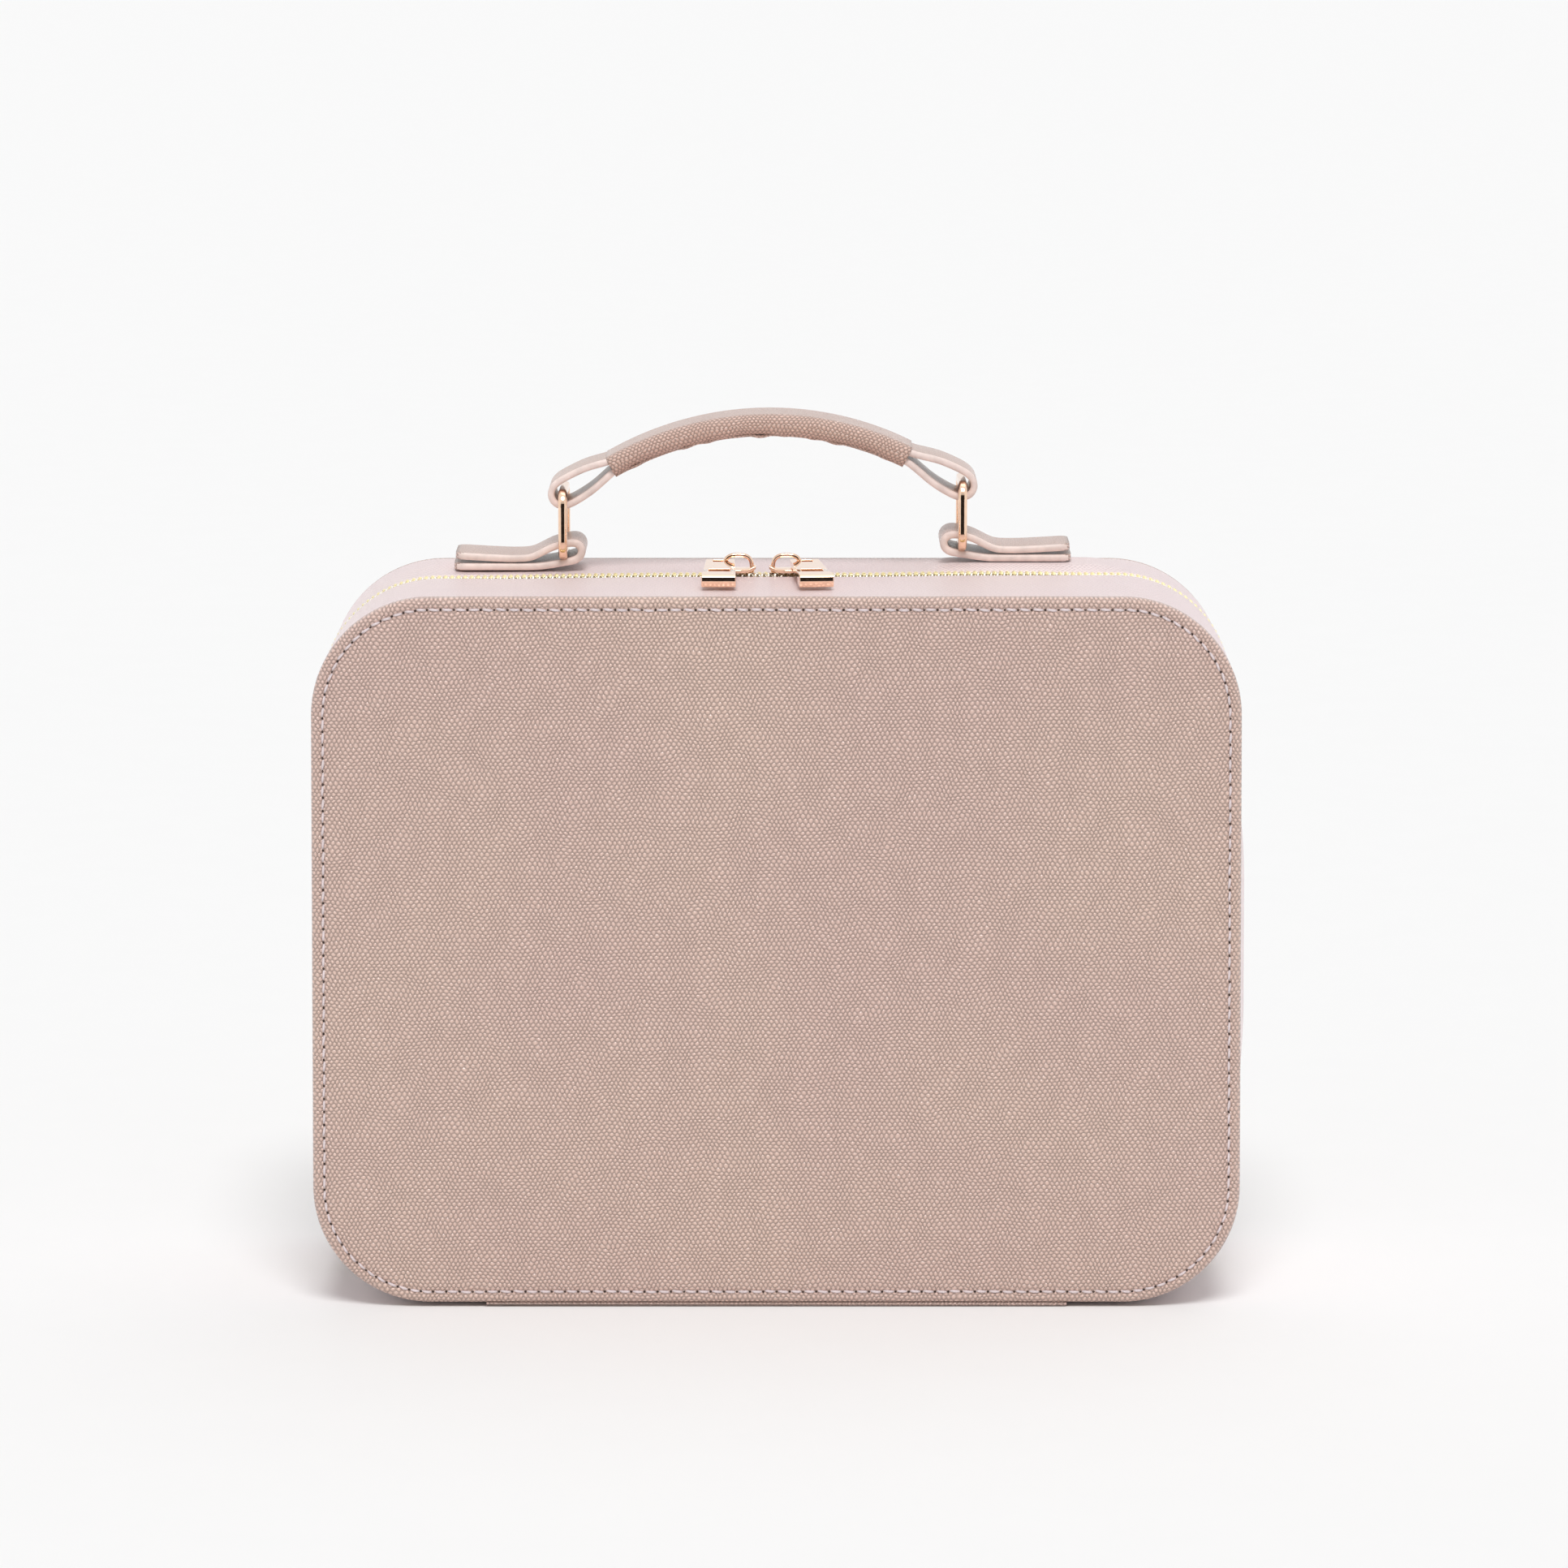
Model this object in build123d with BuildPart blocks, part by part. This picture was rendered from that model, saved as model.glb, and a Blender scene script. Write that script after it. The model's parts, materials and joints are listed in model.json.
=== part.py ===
"""Makeup train case: a soft zip-around clamshell with an arched top handle.

Frame: X to the right, the front face towards -Y, +Z up, origin under the middle of the case.
The back half is the case and the front half is the lid, which turns down and forward about
the hinge panel in the base. Every length is in millimetres.
"""
import os
from math import cos, radians, sin

from build123d import *

os.makedirs("parts", exist_ok=True)

# Overall size of the two shells
WIDTH = 260.0
HEIGHT = 199.5
DEPTH = 90.0
CORNER_R = 33.0
PANEL_T = 1.2  # the hinge panel hangs this far below the shells
TOP = PANEL_T + HEIGHT
MID_Z = PANEL_T + HEIGHT / 2
FRONT_Y = -DEPTH / 2
BACK_Y = DEPTH / 2
SPLIT_Y = 4.5  # the zip's centre plane

# Layers of each shell
SKIN_T = 0.9  # pebbled leather skin
PANEL_SKIN_T = 0.8
RIM_W = 3.2  # turned edge outside the panel's stitch line
RIM_DEPTH = 4.0
RIM_ROUND = 1.7
BOARD_JOINT_GAP = 0.1  # between the four pieces of each gusset board
BOARD_T = 2.0
LINING_T = 0.6
TAPE_T = 0.6
SKIN_EDGE = 3.3  # from the zip's centre plane to the skin's turned edge
BOARD_EDGE = 3.9
TAPE_EDGE = 0.7
TAPE_W = 11.0
BINDING_W = 4.0

# Zip strands: each tooth row is a plain band, with room for the sliders' posts between the two
COIL_W = 1.4
COIL_PROUD = 0.8
HINGE_LENGTH = 163.0
ZIP_END_X = 89.0  # the zip stops this far from the middle, beside the hinge panel
HINGE_GAP = 0.05  # from the centre plane to each half of the hinge panel
HINGE_MARGIN = 1.2  # the panel stops this far inside the front and back faces

# Sliders and their pulls
ZIP_MIDDLE_X = -4.0  # the sliders meet slightly left of the middle
SLIDER_LENGTH = 10.0
SLIDER_GAP = 3.8
SLIDER_W = 7.8
SLIDER_CORNER_R = 1.6
SLIDER_EDGE_R = 0.35
SLIDER_PLATE_T = 1.0
SLIDER_UNDER_W = 6.6
SLIDER_UNDER_T = 1.2
SLIDER_UNDER_CORNER_R = 1.4
TEETH_CLEARANCE = 0.3  # from the teeth and the tape to the slider's two plates
FLANGE_Y = -2.7  # the plate's front flange, from the zip's centre plane
FLANGE_T = 0.6
FLANGE_DROP = 1.3
POST_W = 0.8
POST_LENGTH = 2.0
POST_INSET = 0.6  # from the slider's near end
BRIDGE_LENGTH = 9.0
BRIDGE_TOP = 6.3  # above the case top
BRIDGE_T = 1.0
BRIDGE_LEG = 1.2
BRIDGE_W = 1.8
BRIDGE_R = 0.9
PULL_LENGTH = 38.0
PULL_W_BRIDGE = 8.2
PULL_W_END = 9.6
PULL_T = 1.8
PULL_BAR_T = 1.4
PULL_BLOCK_T = 3.5
PULL_BLOCK_LENGTH = 8.5
PULL_BLOCK_R = 1.2
PULL_BLOCK_Z = 1.0  # the block's underside above the case top
PULL_BACK = 3.0  # the pull's back end behind the zip's centre plane
PULL_BAR_LENGTH = 7.0  # the back end is thinner over this length
PULL_WINDOW = (4.6, 3.9)
PULL_WINDOW_R = 0.6
PULL_WINDOW_Y = -0.55  # the window's middle, from the zip's centre plane
PULL_SLOT = (6.2, 7.4)
PULL_SLOT_R = 1.0
PULL_SLOT_Y = 13.4  # the slot's middle, from the pull's front end
PULL_Z = 2.4  # the pull's underside above the case top
PULL_OFFSET = 1.1  # the pull's middle stands outward of the bridge leg it hangs on

# Handle, its rings and its tabs
HANDLE_X = -3.9  # the handle is sewn on slightly left of the middle
HANDLE_Y = 24.5
STRAP_W = 21.0
LAYER_T = 2.2
RING_X = 56.8  # each ring stands this far from the handle's middle
RING_WIRE = 2.5
RING_LOW_Z = TOP + 4.4
RING_HIGH_Z = RING_LOW_Z + 17.6
RING_INNER_W = 24.0
RING_CORNER_R = 3.5
STRAP_LOOP_R = 2.4
TAB_LOOP_R = 2.9
TAB_LOOP_X = 55.1
TAB_LOOP_Z = TOP + 5.1
TAB_SEAM_X = 65.2
TAB_SLOT_SHORT = 1.0  # the slot behind the ring ends this far before the seam
TAB_END_X = 87.9
ANCHOR_BOARD_T = 1.2
ARC_Z = 151.6  # centre of the handle's arch
GRIP_R = 92.5
GRIP_WALL = 0.9
STRAP_OUTER_R = GRIP_R - GRIP_WALL
STRAP_INNER_R = STRAP_OUTER_R - 4.2
STRAND_T = 1.7
STRAP_HALF_ANGLE = 29.6
GRIP_HALF_ANGLE = 28.6
CORE_HALF_ANGLE = 25.0
STRAP_END_R = STRAP_LOOP_R + 2.0

# Leather tabs over the zip's two ends
END_TAB = (6.2, 9.0)
END_TAB_R = 1.0
END_TAB_X = 3.9  # from the hinge panel's end to the tab's middle
END_TAB_Y = 5.0  # behind the zip's centre plane
END_TAB_LOW_Z = 0.3

# Inside fittings
DIVIDER_T = 3.0
DIVIDER_DEPTH = 23.4
LOWER_DIVIDERS_X = (-63.0, 0.0, 63.0)
UPPER_DIVIDERS_X = (-42.0, 42.0)
LONG_DIVIDER_DROP = 3.0  # the long divider stands this far below the middle
UPPER_DIVIDER_GAP = 1.3  # room above the short dividers for the anchor board
BRUSH_BOARD = (212.0, 150.0)
BRUSH_BOARD_R = 14.0
BRUSH_BOARD_T = 2.0
BAND = (196.0, 20.0)
BAND_T = 1.2
UPPER_BAND_Z = 44.0  # each from the middle height
LOWER_BAND_Z = -6.0
POCKET = (196.0, 50.0)
POCKET_R = 4.0
POCKET_Z = -47.0
LINED = SKIN_T + BOARD_T + LINING_T  # from the outline in to the lining's face
LINED_BACK_Y = BACK_Y - RIM_DEPTH - BOARD_T - LINING_T
LINED_FRONT_Y = FRONT_Y + RIM_DEPTH + BOARD_T + LINING_T
GAP = 0.1


def across(y):
    """The plane that faces the front at this depth, centred on the shells."""
    return Plane(origin=(0, y, MID_Z), x_dir=(1, 0, 0), z_dir=(0, -1, 0))


def rounded(inset, mode=Mode.ADD):
    """The case's rounded outline, this far inside the outer skin."""
    RectangleRounded(WIDTH - 2 * inset, HEIGHT - 2 * inset, CORNER_R - inset, mode=mode)


def ring_band(outer, inner):
    """A band between two insets of the outline."""
    rounded(outer)
    rounded(inner, mode=Mode.SUBTRACT)


def beside(side, y=HANDLE_Y):
    """A plane across the handle whose X runs outward from the handle's middle."""
    return Plane(origin=(HANDLE_X, y, 0), x_dir=(side, 0, 0), z_dir=(0, -side, 0))


def arc_sector(inner, outer, half_angle, mode=Mode.ADD):
    """A piece of the handle's arch between two radii."""
    with BuildLine() as outline:
        high = CenterArc((0, ARC_Z), outer, 90 - half_angle, 2 * half_angle)
        low = CenterArc((0, ARC_Z), inner, 90 - half_angle, 2 * half_angle)
        Line(high @ 0, low @ 0)
        Line(high @ 1, low @ 1)
    make_face(outline.edges(), mode=mode)


def arch_point(radius, angle):
    """A point on the handle's arch, this far from its top."""
    return (radius * sin(radians(angle)), ARC_Z + radius * cos(radians(angle)))


def hull_to_line(centre, radius, start, end, mode=Mode.ADD):
    """A teardrop: the outline round a circle and a short line."""
    loop = Edge.make_circle(radius, Plane(origin=(*centre, 0)))
    make_hull([loop, Edge.make_line((*start, 0), (*end, 0))], mode=mode)


def save(part, label):
    part.label = label
    export_step(part, f"parts/{label}.step")


# Front and back panels: skin with a turned rim, padding and board
for name, face_y, way in (("front", FRONT_Y, 1), ("back", BACK_Y, -1)):
    skin_in = face_y + way * PANEL_SKIN_T
    rim_in = face_y + way * RIM_DEPTH
    board_in = rim_in + way * BOARD_T
    with BuildPart() as panel_cover:
        with BuildSketch(across(face_y)):
            rounded(0)
        extrude(amount=-way * RIM_DEPTH)
        with BuildSketch(across(skin_in)):
            rounded(RIM_W)
        extrude(amount=-way * (RIM_DEPTH - PANEL_SKIN_T), mode=Mode.SUBTRACT)
        outer_edge = panel_cover.edges().filter_by_position(Axis.Y, face_y, face_y)
        fillet(outer_edge, radius=RIM_ROUND)
    save(panel_cover.part, f"{name}_panel_cover")

    with BuildPart() as foam:
        with BuildSketch(across(skin_in)):
            rounded(RIM_W)
        extrude(amount=-way * (RIM_DEPTH - PANEL_SKIN_T))
    save(foam.part, f"{name}_foam")

    with BuildPart() as board:
        with BuildSketch(across(rim_in)):
            rounded(SKIN_T)
        extrude(amount=-way * BOARD_T)
    save(board.part, f"{name}_board")

    with BuildPart() as lining:
        with BuildSketch(across(board_in)):
            rounded(SKIN_T + BOARD_T)
        extrude(amount=-way * LINING_T)
    save(lining.part, "lid_lining_front" if name == "front" else "case_lining_back")

# Gussets: skin, board, lining, binding, zip tape and zip teeth of each half
for name, face_y, way in (("lid", FRONT_Y, 1), ("case", BACK_Y, -1)):
    rim_in = face_y + way * RIM_DEPTH
    skin_end = SPLIT_Y - way * SKIN_EDGE
    board_end = SPLIT_Y - way * BOARD_EDGE
    tape_start = SPLIT_Y - way * TAPE_W
    tape_end = SPLIT_Y - way * TAPE_EDGE

    with BuildPart() as gusset_cover:
        with BuildSketch(across(rim_in)):
            ring_band(0, SKIN_T)
        extrude(amount=-way * abs(skin_end - rim_in))
    save(gusset_cover.part, f"{name}_gusset_cover")

    for height, up in (("upper", 1), ("lower", -1)):
        for hand, side in (("left", -1), ("right", 1)):
            with BuildPart() as gusset_board:
                with BuildSketch(across(rim_in + way * BOARD_T)):
                    ring_band(SKIN_T, SKIN_T + BOARD_T)
                extrude(amount=-way * (abs(tape_start - rim_in) - BOARD_T))
                with BuildSketch(across(tape_start)):
                    ring_band(SKIN_T + TAPE_T, SKIN_T + BOARD_T)
                extrude(amount=-way * abs(board_end - tape_start))
                middle_x = side * (WIDTH + BOARD_JOINT_GAP) / 2
                middle_z = MID_Z + up * (HEIGHT + BOARD_JOINT_GAP) / 2
                with Locations((middle_x, 0, middle_z)):
                    Box(WIDTH, 2 * DEPTH, HEIGHT, mode=Mode.INTERSECT)
            save(gusset_board.part, f"{name}_gusset_board_{height}_{hand}")

    with BuildPart() as lining_wall:
        with BuildSketch(across(rim_in + way * (BOARD_T + LINING_T))):
            ring_band(SKIN_T + BOARD_T, LINED)
        extrude(amount=-way * (abs(board_end - rim_in) - BOARD_T - LINING_T))
    save(lining_wall.part, f"{name}_lining_wall")

    with BuildPart() as binding:
        with BuildSketch(across(board_end - way * BINDING_W)):
            ring_band(LINED, LINED + LINING_T)
        extrude(amount=-way * BINDING_W)
    save(binding.part, f"{name}_binding")

    with BuildPart() as zip_tape:
        with BuildSketch(across(tape_start)):
            ring_band(SKIN_T, SKIN_T + TAPE_T)
        extrude(amount=-way * abs(tape_end - tape_start))
        with Locations((0, SPLIT_Y, PANEL_T)):
            Box(2 * ZIP_END_X, 3 * TAPE_W, TAPE_W, mode=Mode.SUBTRACT)
    save(zip_tape.part, f"{name}_zip_tape")

    with BuildPart() as zip_coil:
        with BuildSketch(across(tape_end)):
            ring_band(-COIL_PROUD, SKIN_T)
        extrude(amount=way * COIL_W)
        with Locations((0, SPLIT_Y, PANEL_T)):
            Box(2 * ZIP_END_X, 3 * TAPE_W, TAPE_W, mode=Mode.SUBTRACT)
    save(zip_coil.part, f"{name}_zip_coil")

    panel_near = SPLIT_Y - way * HINGE_GAP
    panel_far = face_y + way * HINGE_MARGIN
    with BuildPart() as hinge_panel:
        with BuildSketch(Plane.XY):
            with Locations((0, (panel_near + panel_far) / 2)):
                Rectangle(HINGE_LENGTH, abs(panel_near - panel_far))
        extrude(amount=PANEL_T)
    save(hinge_panel.part, f"hinge_panel_{name}_half")

# Sliders, bridges and pulls. Each slider rides the lid's teeth and stands mirrored to the other
plate_low = TOP + COIL_PROUD + TEETH_CLEARANCE
plate_high = plate_low + SLIDER_PLATE_T
under_high = TOP - SKIN_T - TAPE_T - TEETH_CLEARANCE
bar_low = TOP + PULL_Z
for name, side in (("left", -1), ("right", 1)):
    near_x = ZIP_MIDDLE_X + side * SLIDER_GAP / 2
    middle_x = near_x + side * SLIDER_LENGTH / 2
    leg_x = middle_x + side * (BRIDGE_LENGTH - BRIDGE_LEG) / 2

    with BuildPart() as slider_body:
        with BuildSketch(Plane.XY.offset(plate_low)):
            with Locations((middle_x, SPLIT_Y)):
                RectangleRounded(SLIDER_LENGTH, SLIDER_W, SLIDER_CORNER_R)
        extrude(amount=SLIDER_PLATE_T)
        with BuildSketch(Plane.XY.offset(under_high)):
            with Locations((middle_x, SPLIT_Y)):
                RectangleRounded(SLIDER_LENGTH, SLIDER_UNDER_W, SLIDER_UNDER_CORNER_R)
        extrude(amount=-SLIDER_UNDER_T)
        with BuildSketch(Plane.XY.offset(under_high)):
            with Locations((near_x + side * (POST_LENGTH / 2 + POST_INSET), SPLIT_Y)):
                Rectangle(POST_LENGTH, POST_W)
        extrude(amount=plate_low - under_high)
        with BuildSketch(Plane.XY.offset(plate_low)):
            with Locations((middle_x, SPLIT_Y + FLANGE_Y)):
                Rectangle(SLIDER_LENGTH - 2 * SLIDER_CORNER_R, FLANGE_T)
        extrude(amount=-FLANGE_DROP)
        top_edges = slider_body.edges().filter_by_position(Axis.Z, plate_high, plate_high)
        fillet(top_edges, radius=SLIDER_EDGE_R)
    save(slider_body.part, f"{name}_slider_body")

    with BuildPart() as slider_bridge:
        with BuildSketch(Plane(origin=(middle_x, SPLIT_Y, 0), x_dir=(1, 0, 0), z_dir=(0, -1, 0))):
            with Locations((0, (plate_high + TOP + BRIDGE_TOP) / 2)):
                Rectangle(BRIDGE_LENGTH, TOP + BRIDGE_TOP - plate_high)
            with Locations((0, (plate_high + TOP + BRIDGE_TOP - BRIDGE_T) / 2)):
                Rectangle(BRIDGE_LENGTH - 2 * BRIDGE_LEG, TOP + BRIDGE_TOP - BRIDGE_T - plate_high,
                          mode=Mode.SUBTRACT)
        extrude(amount=BRIDGE_W / 2, both=True)
        corners = slider_bridge.edges().filter_by(Axis.Y).group_by(Axis.Z)[-1]
        fillet(corners, radius=BRIDGE_R)
    save(slider_bridge.part, f"{name}_slider_bridge")

    # The pull lies over the lid, and its window rings the bridge's outer leg
    pull_x = leg_x + side * PULL_OFFSET
    pull_back = SPLIT_Y + PULL_BACK
    pull_front = pull_back - PULL_LENGTH
    with BuildPart() as pull_tab:
        with BuildSketch(Plane.XY.offset(bar_low)):
            with BuildLine():
                Polyline((pull_x - PULL_W_BRIDGE / 2, pull_back), (pull_x + PULL_W_BRIDGE / 2, pull_back),
                         (pull_x + PULL_W_END / 2, pull_front), (pull_x - PULL_W_END / 2, pull_front),
                         close=True)
            make_face()
            with Locations((pull_x, SPLIT_Y + PULL_WINDOW_Y)):
                RectangleRounded(*PULL_WINDOW, PULL_WINDOW_R, mode=Mode.SUBTRACT)
            with Locations((pull_x, pull_front + PULL_SLOT_Y)):
                RectangleRounded(*PULL_SLOT, PULL_SLOT_R, mode=Mode.SUBTRACT)
        extrude(amount=PULL_T)
        with BuildSketch(Plane.XY.offset(bar_low + PULL_BAR_T)):
            with Locations((pull_x, pull_back)):
                Rectangle(2 * PULL_W_END, 2 * PULL_BAR_LENGTH)
        extrude(amount=PULL_T, mode=Mode.SUBTRACT)
        with BuildSketch(Plane.XY.offset(TOP + PULL_BLOCK_Z)):
            with Locations((pull_x, pull_front + PULL_BLOCK_LENGTH / 2)):
                RectangleRounded(PULL_W_END - 2 * GAP, PULL_BLOCK_LENGTH, PULL_BLOCK_R)
        extrude(amount=PULL_BLOCK_T)
    save(pull_tab.part, f"{name}_pull_tab")

# Rings and the folded tabs that hold them on the back half's top
for name, side in (("left", -1), ("right", 1)):
    ring_x = HANDLE_X + side * RING_X
    half_w = (RING_INNER_W + RING_WIRE) / 2
    with BuildPart() as ring:
        with BuildLine(Plane(origin=(ring_x, HANDLE_Y, 0), x_dir=(0, 1, 0), z_dir=(1, 0, 0))):
            wire = FilletPolyline((-half_w, RING_LOW_Z), (half_w, RING_LOW_Z), (half_w, RING_HIGH_Z),
                                  (-half_w, RING_HIGH_Z), radius=RING_CORNER_R, close=True)
        with BuildSketch(Plane(origin=wire @ 0, z_dir=wire % 0)):
            Circle(RING_WIRE / 2)
        sweep()
    save(ring.part, f"{name}_ring")

    slot_end = TAB_SEAM_X - TAB_SLOT_SHORT
    with BuildPart() as handle_tab:
        with BuildSketch(beside(side)):
            hull_to_line((TAB_LOOP_X, TAB_LOOP_Z), TAB_LOOP_R + LAYER_T, (TAB_SEAM_X, TOP),
                         (TAB_SEAM_X, TOP + 2 * LAYER_T))
            with Locations(((TAB_SEAM_X + TAB_END_X) / 2, TOP + LAYER_T)):
                Rectangle(TAB_END_X - TAB_SEAM_X, 2 * LAYER_T)
            hull_to_line((TAB_LOOP_X, TAB_LOOP_Z), TAB_LOOP_R, (slot_end, TOP + LAYER_T),
                         (slot_end, TOP + LAYER_T + GAP), mode=Mode.SUBTRACT)
        extrude(amount=STRAP_W / 2, both=True)
    save(handle_tab.part, f"{name}_handle_tab")

# Handle: one strap with a loop at each end, a core between its strands and a wrapped grip
strap_in = (STRAP_INNER_R, STRAP_HALF_ANGLE)
strap_out = (STRAP_OUTER_R, STRAP_HALF_ANGLE)
slot_in = (STRAP_INNER_R + STRAND_T, STRAP_HALF_ANGLE)
slot_out = (STRAP_OUTER_R - STRAND_T, STRAP_HALF_ANGLE)
with BuildPart() as handle_strap:
    with BuildSketch(beside(1)):
        arc_sector(STRAP_INNER_R, STRAP_OUTER_R, STRAP_HALF_ANGLE)
    extrude(amount=STRAP_W / 2, both=True)
    for side in (-1, 1):
        with BuildSketch(beside(side)):
            hull_to_line((RING_X, RING_HIGH_Z), STRAP_END_R, arch_point(*strap_in), arch_point(*strap_out))
        extrude(amount=STRAP_W / 2, both=True)
    with BuildSketch(beside(1)):
        arc_sector(STRAP_INNER_R + STRAND_T, STRAP_OUTER_R - STRAND_T, STRAP_HALF_ANGLE)
    extrude(amount=STRAP_W, both=True, mode=Mode.SUBTRACT)
    for side in (-1, 1):
        with BuildSketch(beside(side)):
            hull_to_line((RING_X, RING_HIGH_Z), STRAP_LOOP_R, arch_point(*slot_in), arch_point(*slot_out))
        extrude(amount=STRAP_W, both=True, mode=Mode.SUBTRACT)
save(handle_strap.part, "handle_strap")

with BuildPart() as handle_core:
    with BuildSketch(beside(1)):
        arc_sector(STRAP_INNER_R + STRAND_T, STRAP_OUTER_R - STRAND_T, CORE_HALF_ANGLE)
    extrude(amount=STRAP_W / 2, both=True)
save(handle_core.part, "handle_core")

with BuildPart() as handle_grip:
    with BuildSketch(beside(1)):
        arc_sector(STRAP_INNER_R - GRIP_WALL, GRIP_R, GRIP_HALF_ANGLE)
    extrude(amount=STRAP_W / 2 + GRIP_WALL, both=True)
    with BuildSketch(beside(1)):
        arc_sector(STRAP_INNER_R, STRAP_OUTER_R, STRAP_HALF_ANGLE)
    extrude(amount=STRAP_W / 2, both=True, mode=Mode.SUBTRACT)
save(handle_grip.part, "handle_grip")

with BuildPart() as handle_anchor_board:
    with BuildSketch(Plane.XY.offset(TOP - LINED)):
        with Locations((HANDLE_X, HANDLE_Y)):
            Rectangle(2 * TAB_END_X, STRAP_W)
    extrude(amount=-ANCHOR_BOARD_T)
save(handle_anchor_board.part, "handle_anchor_board")

# Small leather tabs that cover the zip's two ends under the base
for name, side in (("left", -1), ("right", 1)):
    with BuildPart() as zip_end_tab:
        with BuildSketch(Plane.XY.offset(END_TAB_LOW_Z)):
            with Locations((side * (HINGE_LENGTH / 2 + END_TAB_X), SPLIT_Y + END_TAB_Y)):
                RectangleRounded(*END_TAB, END_TAB_R)
        extrude(amount=PANEL_T - END_TAB_LOW_Z)
    save(zip_end_tab.part, f"{name}_zip_end_tab")

# Dividers standing on the back lining: one across the case, three below it and two above
long_z = MID_Z - LONG_DIVIDER_DROP
divider_y = LINED_BACK_Y - DIVIDER_DEPTH
inside_low = PANEL_T + LINED + GAP
inside_high = TOP - LINED - GAP
with BuildPart() as long_divider:
    with BuildSketch(Plane.XY.offset(long_z - DIVIDER_T / 2)):
        with Locations((0, divider_y + DIVIDER_DEPTH / 2)):
            Rectangle(WIDTH - 2 * (LINED + GAP), DIVIDER_DEPTH)
    extrude(amount=DIVIDER_T)
save(long_divider.part, "long_divider")

short_rows = [(x, inside_low, long_z - DIVIDER_T / 2 - GAP) for x in LOWER_DIVIDERS_X]
short_rows += [(x, long_z + DIVIDER_T / 2 + GAP, inside_high - UPPER_DIVIDER_GAP) for x in UPPER_DIVIDERS_X]
for number, (x, low, high) in enumerate(short_rows, 1):
    with BuildPart() as short_divider:
        with BuildSketch(Plane.XY.offset(low)):
            with Locations((x, divider_y + DIVIDER_DEPTH / 2)):
                Rectangle(DIVIDER_T, DIVIDER_DEPTH)
        extrude(amount=high - low)
    save(short_divider.part, f"short_divider_{number}")

# Brush holder in the lid: a padded board, two elastic bands and a pocket
with BuildPart() as brush_board:
    with BuildSketch(across(LINED_FRONT_Y)):
        RectangleRounded(*BRUSH_BOARD, BRUSH_BOARD_R)
    extrude(amount=-BRUSH_BOARD_T)
save(brush_board.part, "brush_board")

for name, height in (("upper", UPPER_BAND_Z), ("lower", LOWER_BAND_Z)):
    with BuildPart() as brush_band:
        with BuildSketch(across(LINED_FRONT_Y + BRUSH_BOARD_T)):
            with Locations((0, height)):
                Rectangle(*BAND)
        extrude(amount=-BAND_T)
    save(brush_band.part, f"{name}_brush_band")

with BuildPart() as brush_pocket:
    with BuildSketch(across(LINED_FRONT_Y + BRUSH_BOARD_T)):
        with Locations((0, POCKET_Z)):
            RectangleRounded(*POCKET, POCKET_R)
    extrude(amount=-BAND_T)
save(brush_pocket.part, "brush_pocket")
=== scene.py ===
"""Looks of the makeup train case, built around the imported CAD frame. Lengths are in metres."""
import json
import math

import bmesh
import bpy
import numpy as np
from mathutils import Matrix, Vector


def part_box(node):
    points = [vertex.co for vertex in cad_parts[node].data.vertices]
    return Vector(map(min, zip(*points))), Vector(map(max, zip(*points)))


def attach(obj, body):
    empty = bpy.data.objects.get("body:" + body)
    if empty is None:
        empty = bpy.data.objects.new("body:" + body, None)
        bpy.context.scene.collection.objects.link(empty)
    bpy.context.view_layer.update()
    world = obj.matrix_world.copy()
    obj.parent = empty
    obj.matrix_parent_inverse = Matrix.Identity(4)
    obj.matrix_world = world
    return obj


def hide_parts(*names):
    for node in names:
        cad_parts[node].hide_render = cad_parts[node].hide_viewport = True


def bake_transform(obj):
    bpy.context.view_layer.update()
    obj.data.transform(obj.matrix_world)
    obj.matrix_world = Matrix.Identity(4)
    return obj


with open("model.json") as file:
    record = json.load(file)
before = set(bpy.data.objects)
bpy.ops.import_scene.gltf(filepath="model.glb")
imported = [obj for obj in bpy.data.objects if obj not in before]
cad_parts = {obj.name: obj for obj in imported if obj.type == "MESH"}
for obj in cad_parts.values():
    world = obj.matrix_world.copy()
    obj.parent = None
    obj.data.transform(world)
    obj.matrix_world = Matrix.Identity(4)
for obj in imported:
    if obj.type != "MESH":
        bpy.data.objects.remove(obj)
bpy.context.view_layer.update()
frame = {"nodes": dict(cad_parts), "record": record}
rng = np.random.default_rng(7)
MM = 0.001

# The case's outline and planes, read from the frame
shell_low, shell_high = (np.array(v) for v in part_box("front_panel_cover"))
back_low, back_high = (np.array(v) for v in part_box("back_panel_cover"))
HALF_W = (shell_high[0] - shell_low[0]) / 2
HALF_H = (shell_high[2] - shell_low[2]) / 2
MID_Z = (shell_high[2] + shell_low[2]) / 2
TOP = shell_high[2]
BASE = shell_low[2]
CORNER_R = 33 * MM
DRAWN_IN = 0.0105  # how much narrower the sewn case is at its top
FRONT_Y, FRONT_RIM_Y = shell_low[1], shell_high[1]
BACK_RIM_Y, BACK_Y = back_low[1], back_high[1]
SPLIT_Y = (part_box("lid_zip_coil")[1][1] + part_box("case_zip_coil")[0][1]) / 2
LID_EDGE_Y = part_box("lid_gusset_cover")[1][1]
CASE_EDGE_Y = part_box("case_gusset_cover")[0][1]
HINGE_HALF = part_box("hinge_panel_case_half")[1][0]


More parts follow.
